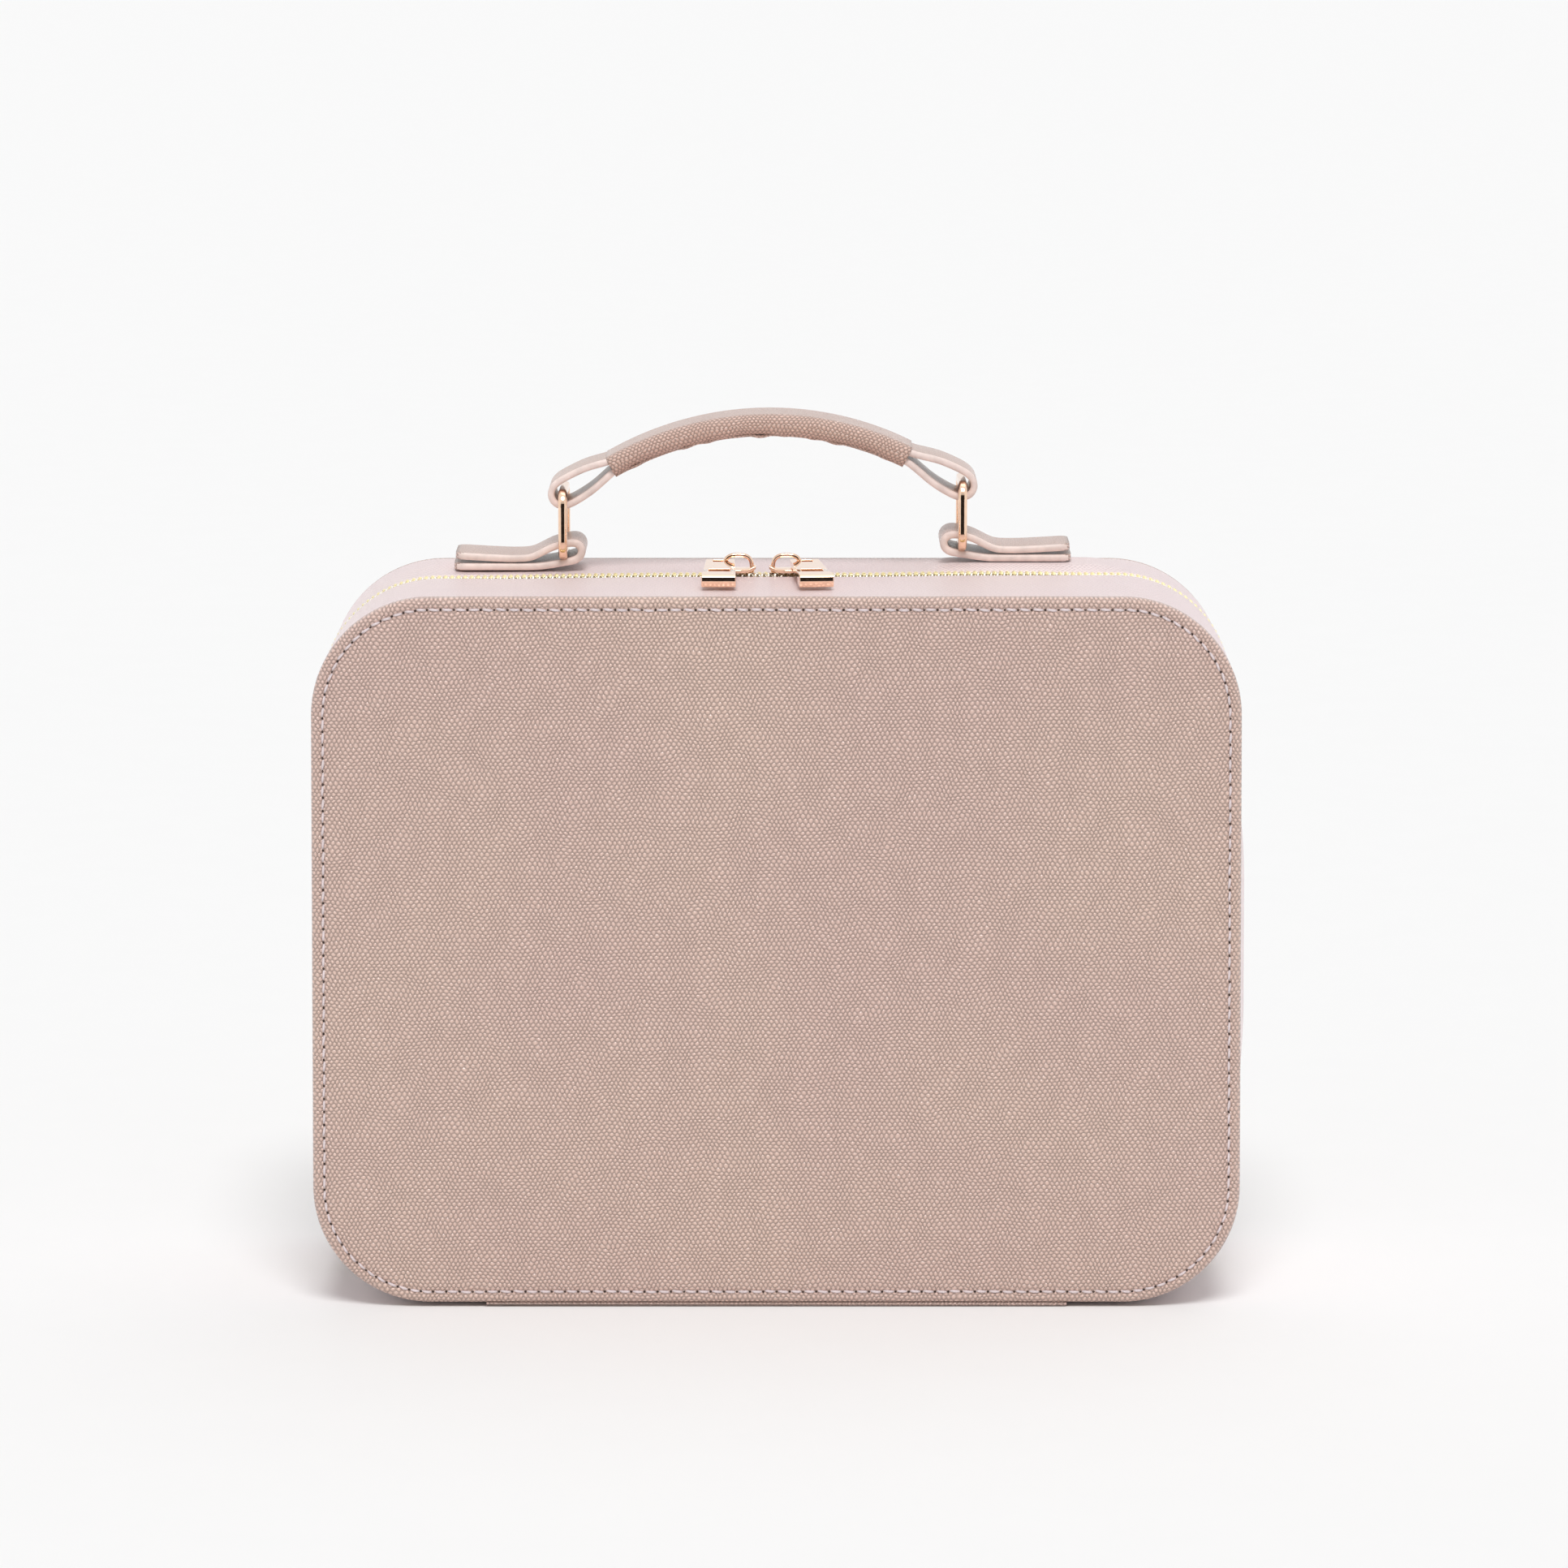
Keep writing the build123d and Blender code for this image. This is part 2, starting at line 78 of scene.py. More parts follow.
# ---------------- meshes
def add_mesh(name, verts, faces, uvs=None, smooth=True):
    """A mesh object from points and faces, with one (u, v) in metres for each face corner."""
    mesh = bpy.data.meshes.new(name)
    mesh.from_pydata([tuple(map(float, v)) for v in verts], [], faces)
    if uvs is not None:
        layer = mesh.uv_layers.new(name="UVMap")
        layer.data.foreach_set("uv", np.asarray(uvs, np.float32).ravel())
    bm = bmesh.new()
    bm.from_mesh(mesh)
    bmesh.ops.recalc_face_normals(bm, faces=bm.faces)
    bm.to_mesh(mesh)
    bm.free()
    mesh.polygons.foreach_set("use_smooth", [smooth] * len(mesh.polygons))
    obj = bpy.data.objects.new(name, mesh)
    bpy.context.scene.collection.objects.link(obj)
    return obj


def face_away(obj, centre):
    """Turns an open surface so that its normals point away from centre."""
    mesh = obj.data
    total = sum(poly.normal.dot(poly.center - Vector(centre)) * poly.area for poly in mesh.polygons)
    if total < 0:
        mesh.flip_normals()


def grid_parts(points, u, v, wrap_u=False, wrap_v=False, cap=False, offset=0):
    """Vertices, faces and uvs of a grid of points. u and v hold one more value than a wrapped side."""
    n, m = points.shape[:2]
    faces, uvs = [], []
    for i in range(n if wrap_u else n - 1):
        for j in range(m if wrap_v else m - 1):
            a, b = (i + 1) % n, (j + 1) % m
            faces.append([offset + i * m + j, offset + a * m + j, offset + a * m + b, offset + i * m + b])
            uvs += [(u[i], v[j]), (u[i + 1], v[j]), (u[i + 1], v[j + 1]), (u[i], v[j + 1])]
    if cap:
        for i in (0, n - 1):
            faces.append([offset + i * m + j for j in range(m)])
            uvs += [(u[i] + 0.3 * (v[j] - v[0]), v[j]) for j in range(m)]
    return points.reshape(-1, 3), faces, uvs


def lengths(points, closed=False):
    """Distance along a line of points, with the closing step added for a closed one."""
    pts = np.vstack([points, points[:1]]) if closed else points
    return np.concatenate([[0], np.cumsum(np.linalg.norm(np.diff(pts, axis=0), axis=1))])


def direction(path, closed=False):
    """Unit steps ahead along a line of points."""
    ahead = np.roll(path, -1, 0) - np.roll(path, 1, 0)
    if not closed:
        ahead[0], ahead[-1] = path[1] - path[0], path[-1] - path[-2]
    return ahead / np.linalg.norm(ahead, axis=1, keepdims=True)


def sweep(name, path, ups, section, closed=False, scale=None, widen=None):
    """Carries a closed section (across, up) along a path. ups gives its up, at each point or for all."""
    path, section = np.asarray(path, float), np.asarray(section, float)
    ahead = direction(path, closed)
    across = np.cross(ahead, ups)
    across /= np.linalg.norm(across, axis=1, keepdims=True)
    ups = np.cross(across, ahead)
    scale = np.ones(len(path)) if scale is None else np.asarray(scale)
    widen = scale if widen is None else scale * widen
    grid = (path[:, None] + across[:, None] * section[None, :, :1] * widen[:, None, None]
            + ups[:, None] * section[None, :, 1:] * scale[:, None, None])
    parts = grid_parts(grid, lengths(path, closed), lengths(section, True), closed, True, not closed)
    return add_mesh(name, *parts)


def rounded_section(width, height, radius, steps=5):
    """A rectangle with rounded corners, as a closed list of points."""
    points = []
    for cx, cy, start in ((1, 1, 0), (-1, 1, 90), (-1, -1, 180), (1, -1, 270)):
        for k in range(steps + 1):
            a = math.radians(start + 90 * k / steps)
            points.append((cx * (width / 2 - radius) + radius * math.cos(a),
                           cy * (height / 2 - radius) + radius * math.sin(a)))
    return np.array(points)


def circle_section(radius, steps=12):
    return np.array([(radius * math.cos(a), radius * math.sin(a))
                     for a in np.linspace(0, 2 * math.pi, steps, endpoint=False)])


def fan(rings, centre):
    """Vertices and faces of nested rings of points, closed by triangles round a centre point."""
    points = np.stack(rings, axis=1)
    n, m = points.shape[:2]
    verts, faces, _ = grid_parts(points, np.arange(n + 1), np.arange(m), wrap_u=True)
    faces += [[i * m + m - 1, ((i + 1) % n) * m + m - 1, n * m] for i in range(n)]
    return np.vstack([verts, [centre]]), faces


def thicken(obj, thickness, offset):
    """Gives an open surface a thickness: offset 0 puts it half on each side, -1 all inside."""
    skin = obj.modifiers.new("thickness", "SOLIDIFY")
    skin.thickness = thickness
    skin.offset = offset


def smoothstep(low, high, value):
    t = np.clip((np.asarray(value, float) - low) / (high - low), 0, 1)
    return t * t * (3 - 2 * t)


def join(name, parts):
    """One object from several (vertices, faces, uvs) parts."""
    verts, faces, uvs = [], [], []
    for v, f, t in parts:
        base = len(verts)
        verts += list(v)
        faces += [[base + i for i in face] for face in f]
        uvs += list(t)
    return add_mesh(name, verts, faces, uvs)


# ---------------- the outline
CORNER_STEPS = 24


def make_outline():
    """The case's outline as dense points with outward normals, from the middle of the base round."""
    points, normals = [], []
    w, h, r = HALF_W, HALF_H, CORNER_R
    corners = ((w - r, r - h, -90), (w - r, h - r, 0), (r - w, h - r, 90), (r - w, r - h, 180))
    points.append((0.0, -h))
    normals.append((0.0, -1.0))
    for cx, cz, start in corners:
        for k in range(CORNER_STEPS + 1):
            a = math.radians(start + 90 * k / CORNER_STEPS)
            points.append((cx + r * math.cos(a), cz + r * math.sin(a)))
            normals.append((math.cos(a), math.sin(a)))
    points.append((0.0, -h))
    normals.append((0.0, -1.0))
    points, normals = np.array(points), np.array(normals)
    # The sewn case draws in a little towards its top
    points[:, 0] *= 1 - DRAWN_IN * (points[:, 1] + h) / (2 * h)
    return lengths(points), points + (0, MID_Z), normals


OUT_S, OUT_P, OUT_N = make_outline()
OUT_LENGTH = OUT_S[-1]


def outline_at(s):
    """Points (x, z) and outward normals of the outline at distances s from the middle of the base."""
    s = np.mod(s, OUT_LENGTH)
    p = np.stack([np.interp(s, OUT_S, OUT_P[:, k]) for k in (0, 1)], axis=-1)
    n = np.stack([np.interp(s, OUT_S, OUT_N[:, k]) for k in (0, 1)], axis=-1)
    return p, n / np.linalg.norm(n, axis=-1, keepdims=True)


def soft_move(x, y, z):
    """How far the soft gusset stands out beside the zip. Its sides bulge, most on the right, the top
    sinks a little towards the left corner and rises under the right handle tab."""
    deep = smoothstep(FRONT_RIM_Y, SPLIT_Y - 8 * MM, y) * (1 - smoothstep(SPLIT_Y + 8 * MM, BACK_RIM_Y, y))
    high = smoothstep(30 * MM, 80 * MM, z) * (1 - smoothstep(TOP - 85 * MM, TOP - 35 * MM, z))
    beside = smoothstep(HALF_W - 25 * MM, HALF_W - 2 * MM, np.abs(x))
    swell = deep * high * beside * np.where(x > 0, 3.4 * MM, 1.0 * MM)
    on_top = smoothstep(TOP - 30 * MM, TOP - 6 * MM, z)
    zip_zone = smoothstep(FRONT_RIM_Y, SPLIT_Y - 12 * MM, y) * (1 - smoothstep(10 * MM, 32 * MM, y))
    sag = smoothstep(-25 * MM, -85 * MM, x) * 0.6 * MM - smoothstep(20 * MM, 60 * MM, x) * 0.4 * MM
    under_tab = smoothstep(34 * MM, 52 * MM, x) * (1 - smoothstep(88 * MM, 104 * MM, x)) * 1.5 * MM
    under_tab = under_tab * smoothstep(7 * MM, 15 * MM, y) * (1 - smoothstep(34 * MM, 41 * MM, y))
    return swell + on_top * (under_tab - sag * zip_zone)


def at_depth(flat, y):
    """(x, z) points as 3-D points at a depth."""
    return np.stack([flat[..., 0], np.broadcast_to(y, flat.shape[:-1]), flat[..., 1]], axis=-1)


SKIN_T = 0.9 * MM
SOFT_T = 2.8 * MM  # the skin and its board; the lining inside stays flat


def place_on_outline(s, y, inset):
    """3-D points at distances s along the outline, depths y and insets into the case."""
    s, y, inset = np.broadcast_arrays(s, y, inset)
    p, n = outline_at(s)
    out = soft_move(p[..., 0], y, p[..., 1]) * np.clip(1 - inset / SOFT_T, 0, 1) - inset
    return at_depth(p + n * out[..., None], y)


def band(name, section, step=2 * MM, s0=None, s1=None):
    """Carries a closed section of (depth, inset) round the outline, all the way or from s0 to s1."""
    section = np.array(section)
    whole = s0 is None
    start, end = (0, OUT_LENGTH) if whole else (s0, s1)
    count = int(round((end - start) / step))
    s = np.linspace(start, end, count + 1)
    used = s[:-1] if whole else s
    grid = place_on_outline(used[:, None], section[None, :, 0], section[None, :, 1])
    return add_mesh(name, *grid_parts(grid, s, lengths(section, True), whole, True, not whole))


# ---------------- materials
def put(socket, value):
    """Sets a node's input to a value, or links it to another node's output."""
    if isinstance(value, bpy.types.NodeSocket):
        socket.id_data.links.new(value, socket)
    else:
        socket.default_value = value


def feed(made, **inputs):
    """Fills a node's inputs by name; _ stands for a space in the name."""
    for key, value in inputs.items():
        put(made.inputs[key.replace("_", " ")], value)


def node(tree, kind, *values, **named):
    """A shader node. values fill its first inputs in order; named ones are properties or inputs."""
    made = tree.nodes.new("ShaderNode" + kind)
    for key, value in named.items():
        if hasattr(made, key):
            setattr(made, key, value)
        else:
            feed(made, **{key: value})
    for socket, value in zip(made.inputs, values):
        put(socket, value)
    return made


def numbers(tree, operation, *values):
    return node(tree, "Math", *values, operation=operation).outputs[0]


def vectors(tree, operation, *values):
    made = node(tree, "VectorMath", *values, operation=operation)
    return made.outputs["Value" if operation == "LENGTH" else "Vector"]


def ramp(factor, stops):
    """The colour that a ramp of (position, colour) stops gives for a factor."""
    made = node(factor.id_data, "ValToRGB", factor)
    first, last = made.color_ramp.elements
    first.position, first.color = stops[0]
    last.position, last.color = stops[-1]
    for position, colour in stops[1:-1]:
        made.color_ramp.elements.new(position).color = colour
    return made.outputs["Color"]


def bump(height, strength, depth_mm):
    made = node(height.id_data, "Bump", Strength=strength, Distance=depth_mm * MM, Height=height)
    return made.outputs[0]


def multiplied(first, second):
    """Two colours multiplied."""
    mix = node(first.id_data, "Mix", data_type="RGBA", blend_type="MULTIPLY", Factor=1.0)
    put(mix.inputs[6], first)
    put(mix.inputs[7], second)
    return mix.outputs[2]


def shade(colour, factor):
    return (colour[0] * factor, colour[1] * factor, colour[2] * factor, 1)


def grey(value):
    return (value, value, value, 1)


def tones(factor, colour, low, high):
    """A colour that drifts between two strengths of itself."""
    return ramp(factor, [(0.3, shade(colour, low)), (0.7, shade(colour, high))])


def new_material(name):
    """A material with its tree, its shader and the outputs of its coordinates."""
    mat = bpy.data.materials.new(name)
    mat.use_nodes = True
    tree = mat.node_tree
    return mat, tree, tree.nodes["Principled BSDF"], node(tree, "TexCoord").outputs


def hex_cells(tree, vector, pitch, row):
    """Distance in millimetres to the nearest point of a lattice whose rows are offset by half a pitch."""
    found = []
    for shift in (0.0, 0.5):
        cells = vectors(tree, "MULTIPLY_ADD", vector, (1000 / pitch, 500 / row, 0), (shift, shift, 0))
        middle = vectors(tree, "SUBTRACT", vectors(tree, "FRACTION", cells), (0.5, 0.5, 0))
        found.append(vectors(tree, "LENGTH", vectors(tree, "MULTIPLY", middle, (pitch, 2 * row, 0))))
    return numbers(tree, "MINIMUM", *found)


def wandering(tree, vector, scale, amount):
    """The vector moved about by noise, by up to about half of amount either way."""
    noise = node(tree, "TexNoise", noise_dimensions="2D", Scale=scale, Detail=0.5, Vector=vector)
    centred = vectors(tree, "SUBTRACT", noise.outputs["Color"], (0.5, 0.5, 0.5))
    return vectors(tree, "MULTIPLY_ADD", centred, (amount, amount, 0), vector)


def pebbled_leather(name, colour, pitch=1.37, row=1.05, depth=0.42, painted_shading=1.0, rough=0.42, sheen=0.15,
                    coat=0.9):
    """Caviar leather: rounded pearly pebbles in offset uneven rows, with painted shade in the valleys between
    them and a painted highlight on their tops.
    """
    mat, tree, shader, where = new_material(name)
    moved = wandering(tree, where["UV"], 110.0, 1.7 * MM)
    moved = wandering(tree, moved, 480.0, 0.42 * MM)
    distance = hex_cells(tree, moved, pitch, row)
    pebble_radius = 0.56 * (pitch + row) / 2
    dome = node(tree, "MapRange", numbers(tree, "MULTIPLY", distance, distance), 0.0, pebble_radius ** 2,
                1.0, 0.0).outputs[0]
    fine = node(tree, "TexNoise", noise_dimensions="2D", Scale=3000.0, Detail=2.0, Vector=where["UV"])
    grain = bump(numbers(tree, "MULTIPLY_ADD", fine.outputs["Fac"], 0.08, dome), 1.0, depth)
    # Painted shade darkens the valleys between the pebbles, and a painted highlight lightens the pebbles'
    # tops
    painted_shade_and_highlight = ramp(dome, [(0.12, shade(colour, 1 - 0.3 * painted_shading)), (0.5, shade(colour, 1 - 0.08 * painted_shading)),
                         (1.0, shade(colour, 1 + 0.1 * painted_shading))])
    cloud = node(tree, "TexNoise", noise_dimensions="2D", Scale=14.0, Detail=2.0, Vector=where["UV"])
    tint = ramp(cloud.outputs["Fac"], [(0.3, (0.985, 0.965, 0.985, 1)), (0.7, (1.01, 1.01, 1.0, 1))])
    gloss = ramp(dome, [(0.0, grey(rough + 0.22)), (1.0, grey(rough - 0.06))])
    feed(shader, Base_Color=multiplied(painted_shade_and_highlight, tint), Roughness=gloss, Normal=grain, Coat_Normal=grain,
         Sheen_Weight=sheen, Sheen_Roughness=0.4, Sheen_Tint=(1.0, 0.86, 0.9, 1), Coat_Weight=coat,
         Coat_Roughness=0.16)
    return mat


def woven(name, colour, thread=0.5, strength=0.6, rough=0.85, sheen=0.25):
    """Woven cloth: crossed threads of a given width in millimetres, over a soft colour drift, with painted
    shade where the weave sinks between its threads.
    """
    mat, tree, shader, where = new_material(name)
    across, along, up = (node(tree, "TexWave", bands_direction=axis, Scale=314.0 / thread / 2, Distortion=0.6,
                              Detail=1.0, Vector=where["Object"]).outputs["Fac"] for axis in "XYZ")
    weave = numbers(tree, "MULTIPLY_ADD", along, 0.5, numbers(tree, "MULTIPLY", across, up))
    cloud = node(tree, "TexNoise", Scale=60.0, Detail=4.0, Vector=where["Object"]).outputs["Fac"]
    # Painted shade: the weave's colour darkens where it sinks between threads
    dark = ramp(weave, [(0.0, grey(0.72)), (0.8, grey(1))])
    feed(shader, Base_Color=multiplied(tones(cloud, colour, 0.94, 1.04), dark),
         Normal=bump(weave, strength, 0.12), Roughness=rough, Sheen_Weight=sheen)
    return mat


def mottled(name, colour, rough, grain=400.0, detail=4.0, low=0.8, high=1.1, strength=0.6, bump_mm=0.05):
    """Board, foam, plastic, metal or a painted edge, with fine mottling of its colour and height."""
    mat, tree, shader, where = new_material(name)
    cloud = node(tree, "TexNoise", Scale=grain, Detail=detail, Vector=where["Object"]).outputs["Fac"]
    feed(shader, Base_Color=tones(cloud, colour, low, high), Normal=bump(cloud, strength, bump_mm),
         Roughness=rough)
    return mat


def plated_metal(name, colour, rough, metal=1.0):
    """Polished plating with faint polishing marks and slightly duller worn patches."""
    mat = mottled(name, colour, rough, 900.0, 3.0, 0.94, 1.03, 0.15, 0.02)
    nodes = mat.node_tree.nodes
    dull = ramp(nodes["Noise Texture"].outputs["Fac"], [(0.35, grey(rough)), (0.75, grey(rough * 1.9))])
    feed(nodes["Principled BSDF"], Roughness=dull, Metallic=metal)
    return mat


LEATHER_SLOT = "pink_pebbled_leather"
PINK = (0.765, 0.545, 0.46)
LIT_PALE_PINK = (0.945, 0.785, 0.78)
HANDLE_PINK = (0.67, 0.45, 0.365)
LEATHER = pebbled_leather("pebbled_leather", PINK)
# Painted light: the gusset is the panels' pink leather, coloured paler for the light that falls on the case's
# top
GUSSET_LEATHER_LIT = pebbled_leather("gusset_leather_lit", LIT_PALE_PINK, depth=0.13, painted_shading=0.45, rough=0.45, sheen=0.3,
                               coat=0.5)
LEATHER_SMALL = pebbled_leather("handle_leather", HANDLE_PINK, pitch=1.25, row=0.95, depth=0.3, painted_shading=1.25)
LEATHER_EDGE = mottled("leather_edge", (0.90, 0.745, 0.69), 0.5, 320.0, low=0.86, high=1.06, strength=0.5)
THREAD = woven("stitch_thread", (0.92, 0.79, 0.80), thread=0.22, rough=0.55, sheen=0.1)
# Painted shade: the near-black colour of the discs at the needle holes
HOLE_SHADE = mottled("needle_hole_shade", (0.035, 0.022, 0.022), 0.9)
COIL_BACK = plated_metal("coil_gold", (1.0, 0.88, 0.50), rough=0.25, metal=0.55)
# Painted highlight: the front row of the one gold coil is coloured pale for the silvery highlights it shows
COIL_FRONT_HIGHLIGHT = plated_metal("coil_painted_highlight", (0.95, 0.91, 0.80), rough=0.16, metal=0.8)
ROSE_GOLD = plated_metal("rose_gold", (0.96, 0.68, 0.50), rough=0.06)
TAPE = woven("zip_tape_cloth", (0.72, 0.58, 0.44), thread=0.35)
LINING = woven("lining_cloth", (0.60, 0.42, 0.41), thread=0.4, strength=0.35, rough=0.6, sheen=0.4)
PAD_CLOTH = woven("divider_cloth", (0.55, 0.38, 0.37), thread=0.7, strength=0.8, rough=0.9, sheen=0.5)
ELASTIC = woven("elastic_web", (0.42, 0.28, 0.27), thread=0.8, strength=0.9)
BOARD = mottled("grey_board", (0.36, 0.35, 0.33), 0.9)
FOAM = mottled("foam", (0.8, 0.78, 0.74), 0.95, grain=900.0, bump_mm=0.2)
PLASTIC = mottled("dark_plastic", (0.04, 0.04, 0.04), 0.5)


def give(obj, *materials):
    obj.data.materials.clear()
    for mat in materials:
        obj.data.materials.append(mat)


def finish_piece(obj, body, material, slot, *nodes):
    """Gives a piece its finish and body, and hides the CAD nodes that it stands for; slot is not used."""
    give(obj, material)
    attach(obj, body)
    if nodes:
        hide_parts(*nodes)
    return obj


# ---------------- stitches
def stitch_row(name, path_at, start, end, body, pitch=3.7 * MM, thickness=0.78 * MM, closed=False):
    """Separate thread stitches along a line, each dipping into a needle hole at its ends, where a near-black
    disc paints the hole's shade.
    path_at(distance) gives a point, the direction of travel and the surface's normal."""
    count = max(1, int(round((end - start) / pitch)))
    step = (end - start) / count
    threads, holes = [], []
    for k in range(count):
        a = start + k * step
        sway = rng.normal(0, 0.05 * MM)
        slant = (0.16 + rng.normal(0, 0.07)) * MM
        line, ups = [], []
        for t in np.linspace(0.12, 0.88, 7):
            point, ahead, normal = path_at(a + t * step)
            beside = np.cross(ahead, normal)
            lift = 0.36 * MM * math.sin(math.pi * (t - 0.12) / 0.76) ** 0.5 - 0.08 * MM
            line.append(point + normal * lift + beside * (sway + slant * (t - 0.5) * 2))
            ups.append(normal)
        line, ups = np.array(line), np.array(ups)
        beside = np.cross(direction(line), ups)
        ring = circle_section(thickness / 2, 7)
        width = 1 - 0.35 * np.abs(np.linspace(-1, 1, 7)) ** 4
        grid = (line[:, None] + beside[:, None] * ring[None, :, :1] * width[:, None, None]
                + ups[:, None] * ring[None, :, 1:] * 0.7)
        threads.append(grid_parts(grid, lengths(line), lengths(ring, True), False, True, True))
    # Near-black discs at the needle holes: painted shade inside the holes
    for k in range(count + (0 if closed else 1)):
        point, ahead, normal = path_at(start + k * step)
        beside = np.cross(ahead, normal)
        rim = [point + normal * 0.22 * MM + (ahead * math.cos(b) * 0.34 + beside * math.sin(b) * 0.30) * MM
               for b in np.linspace(0, 2 * math.pi, 9)[:-1]]
        centre = [point - normal * 0.05 * MM]
        faces = [[j, (j + 1) % 8, 8] for j in range(8)]
        holes.append((np.array(rim + centre), faces, [(0, 0)] * 24))
    finish_piece(join(name, threads), body, THREAD, LEATHER_SLOT)
    finish_piece(join(name + "_hole_shades", holes), body, HOLE_SHADE, LEATHER_SLOT)


def seam_round(inset, y, facing):
    """A stitch path round the case. facing gives the surface's normal from the outline's."""
    def path_at(distance):
        p, n = (v[0] for v in outline_at(np.array([distance])))
        spot = p - n * inset
        return np.array([spot[0], y, spot[1]]), np.array([-n[1], 0, n[0]]), np.array(facing(n))

    return path_at


# ---------------- panels and gussets
STITCH_IN = 3.3 * MM
TURN_R = 2.1 * MM  # the panel's turned edge


def panel_depth(d):
    """How far the panel's surface lies behind its face plane, at distance d inside the outline."""
    round_off = TURN_R - np.sqrt(np.clip(TURN_R ** 2 - (TURN_R - np.minimum(d, TURN_R)) ** 2, 0, None))
    groove = 0.42 * MM * np.exp(-((d - STITCH_IN) / (0.75 * MM)) ** 2)
    return round_off + groove


def crown(x, z):
    """How far the padded panel stands proud of its face plane."""
    u, w = np.abs(x) / HALF_W, np.abs(z - MID_Z) / HALF_H
    return 0.9 * MM * (1 - u ** 4) * (1 - w ** 4)


def panel_cover(name, face_y, rim_y, body, *nodes):
    """The padded leather panel of the front or back, from its seam round the turned edge to its middle."""
    out = -1 if face_y < 0 else 1
    s = np.linspace(0, OUT_LENGTH, int(OUT_LENGTH / (2.2 * MM)) + 1)
    p, n = outline_at(s[:-1])
    rings = []
    for y in np.linspace(rim_y, face_y - out * TURN_R, 4):
        rings.append(at_depth(p, y))
    for inset in (0.16, 0.4, 0.8, 1.3, 2.1, 2.7, 3.0, 3.3, 3.6, 4.0, 4.8, 6, 9, 13, 18, 24, 30):
        d = inset * MM
        q = p - n * d
        y = face_y - out * panel_depth(d) + out * crown(q[:, 0], q[:, 1]) * smoothstep(4 * MM, 14 * MM, d)
        rings.append(at_depth(q, y))
    last = rings[-1]
    for t in np.linspace(0.93, 0.03, 16):
        q = last[:, (0, 2)] * t + np.array([0, MID_Z]) * (1 - t)
        y = face_y + out * crown(q[:, 0], q[:, 1])
        rings.append(at_depth(q, y))
    verts, faces = fan(rings, (0, face_y + out * crown(0, MID_Z), MID_Z))
    # The grain runs flat across the face and bends over the turned edge
    side = np.abs(verts[:, 1] - face_y)
    away = verts[:, (0, 2)] - (0, MID_Z)
    away /= np.maximum(np.linalg.norm(away, axis=1, keepdims=True), 1e-9)
    flat = verts[:, (0, 2)] + away * np.where(side > 2 * MM, side - 2 * MM, 0)[:, None]
    uvs = [tuple(flat[i]) for face in faces for i in face]
    obj = add_mesh(name, verts, faces, uvs)
    face_away(obj, (0, SPLIT_Y, MID_Z))
    thicken(obj, 0.8 * MM, -1)
    finish_piece(obj, body, LEATHER, LEATHER_SLOT, *nodes)
    on_seam = seam_round(STITCH_IN, face_y - out * panel_depth(STITCH_IN), lambda n: (0.0, out, 0.0))
    stitch_row(name + "_stitches", on_seam, 0, OUT_LENGTH, body, closed=True)


def narrowed(x):
    """How far each turned edge closes in over the zip tape towards the upper corners."""
    return 1.0 * MM * smoothstep(60 * MM, 95 * MM, np.abs(x))


def gusset_cover(name, rim_y, edge_y, body, *nodes):
    """The leather wall between a panel and the zip, with a turned edge beside the teeth."""
    way = 1 if edge_y > rim_y else -1
    outer = [(rim_y + way * d * MM, 0.0) for d in (0.0, 0.5, 3, 8, 14)]
    outer += [(rim_y + (edge_y - rim_y) * t, 0.0) for t in (0.5, 0.65, 0.8, 0.9)]
    edge = [(edge_y - way * 1.6 * MM, -0.12 * MM), (edge_y - way * 0.6 * MM, 0.0),
            (edge_y - way * 0.12 * MM, 0.22 * MM), (edge_y, 0.55 * MM), (edge_y - way * 0.15 * MM, SKIN_T)]
    inner = [(edge_y - way * 2 * MM, SOFT_T), (rim_y + (edge_y - rim_y) * 0.5, SOFT_T), (rim_y, SOFT_T)]
    section = np.array(outer + edge + inner)
    count = int(round(OUT_LENGTH / (2 * MM)))
    s = np.linspace(0, OUT_LENGTH, count + 1)
    p, _ = outline_at(s[:-1])
    near_edge = smoothstep(8 * MM, 1 * MM, np.abs(section[:, 0] - edge_y))
    y = section[None, :, 0] + way * narrowed(p[:, :1]) * near_edge[None, :]
    grid = place_on_outline(s[:-1, None], y, section[None, :, 1])
    obj = add_mesh(name, *grid_parts(grid, s, lengths(section, True), True, True))
    # The gusset's paler leather colour is painted light
    return finish_piece(obj, body, GUSSET_LEATHER_LIT, LEATHER_SLOT, *nodes)


panel_cover("front_panel", FRONT_Y, FRONT_RIM_Y, "lid", "front_panel_cover", "front_foam", "front_board")
panel_cover("back_panel", BACK_Y, BACK_RIM_Y, "case", "back_panel_cover", "back_foam", "back_board")
for body, rim_y, edge_y in (("lid", FRONT_RIM_Y, LID_EDGE_Y), ("case", BACK_RIM_Y, CASE_EDGE_Y)):
    boards = [name for name in frame["nodes"] if name.startswith(body + "_gusset_board")]
    gusset_cover(body + "_gusset", rim_y, edge_y, body, body + "_gusset_cover", *boards)

# ---------------- the zip
ZIP_START_S = 89 * MM  # beside the hinge panel's end
ZIP_END_S = OUT_LENGTH - ZIP_START_S
PITCH = 1.85 * MM
POINTS_PER_TOOTH = 12
REACH = 1.25 * MM  # half of a tooth's length across the zip
TAPE_INSET = 0.95 * MM
TAPE_T = 0.5 * MM
TAPE_HIDDEN = 6 * MM  # how far the tape runs in under the leather


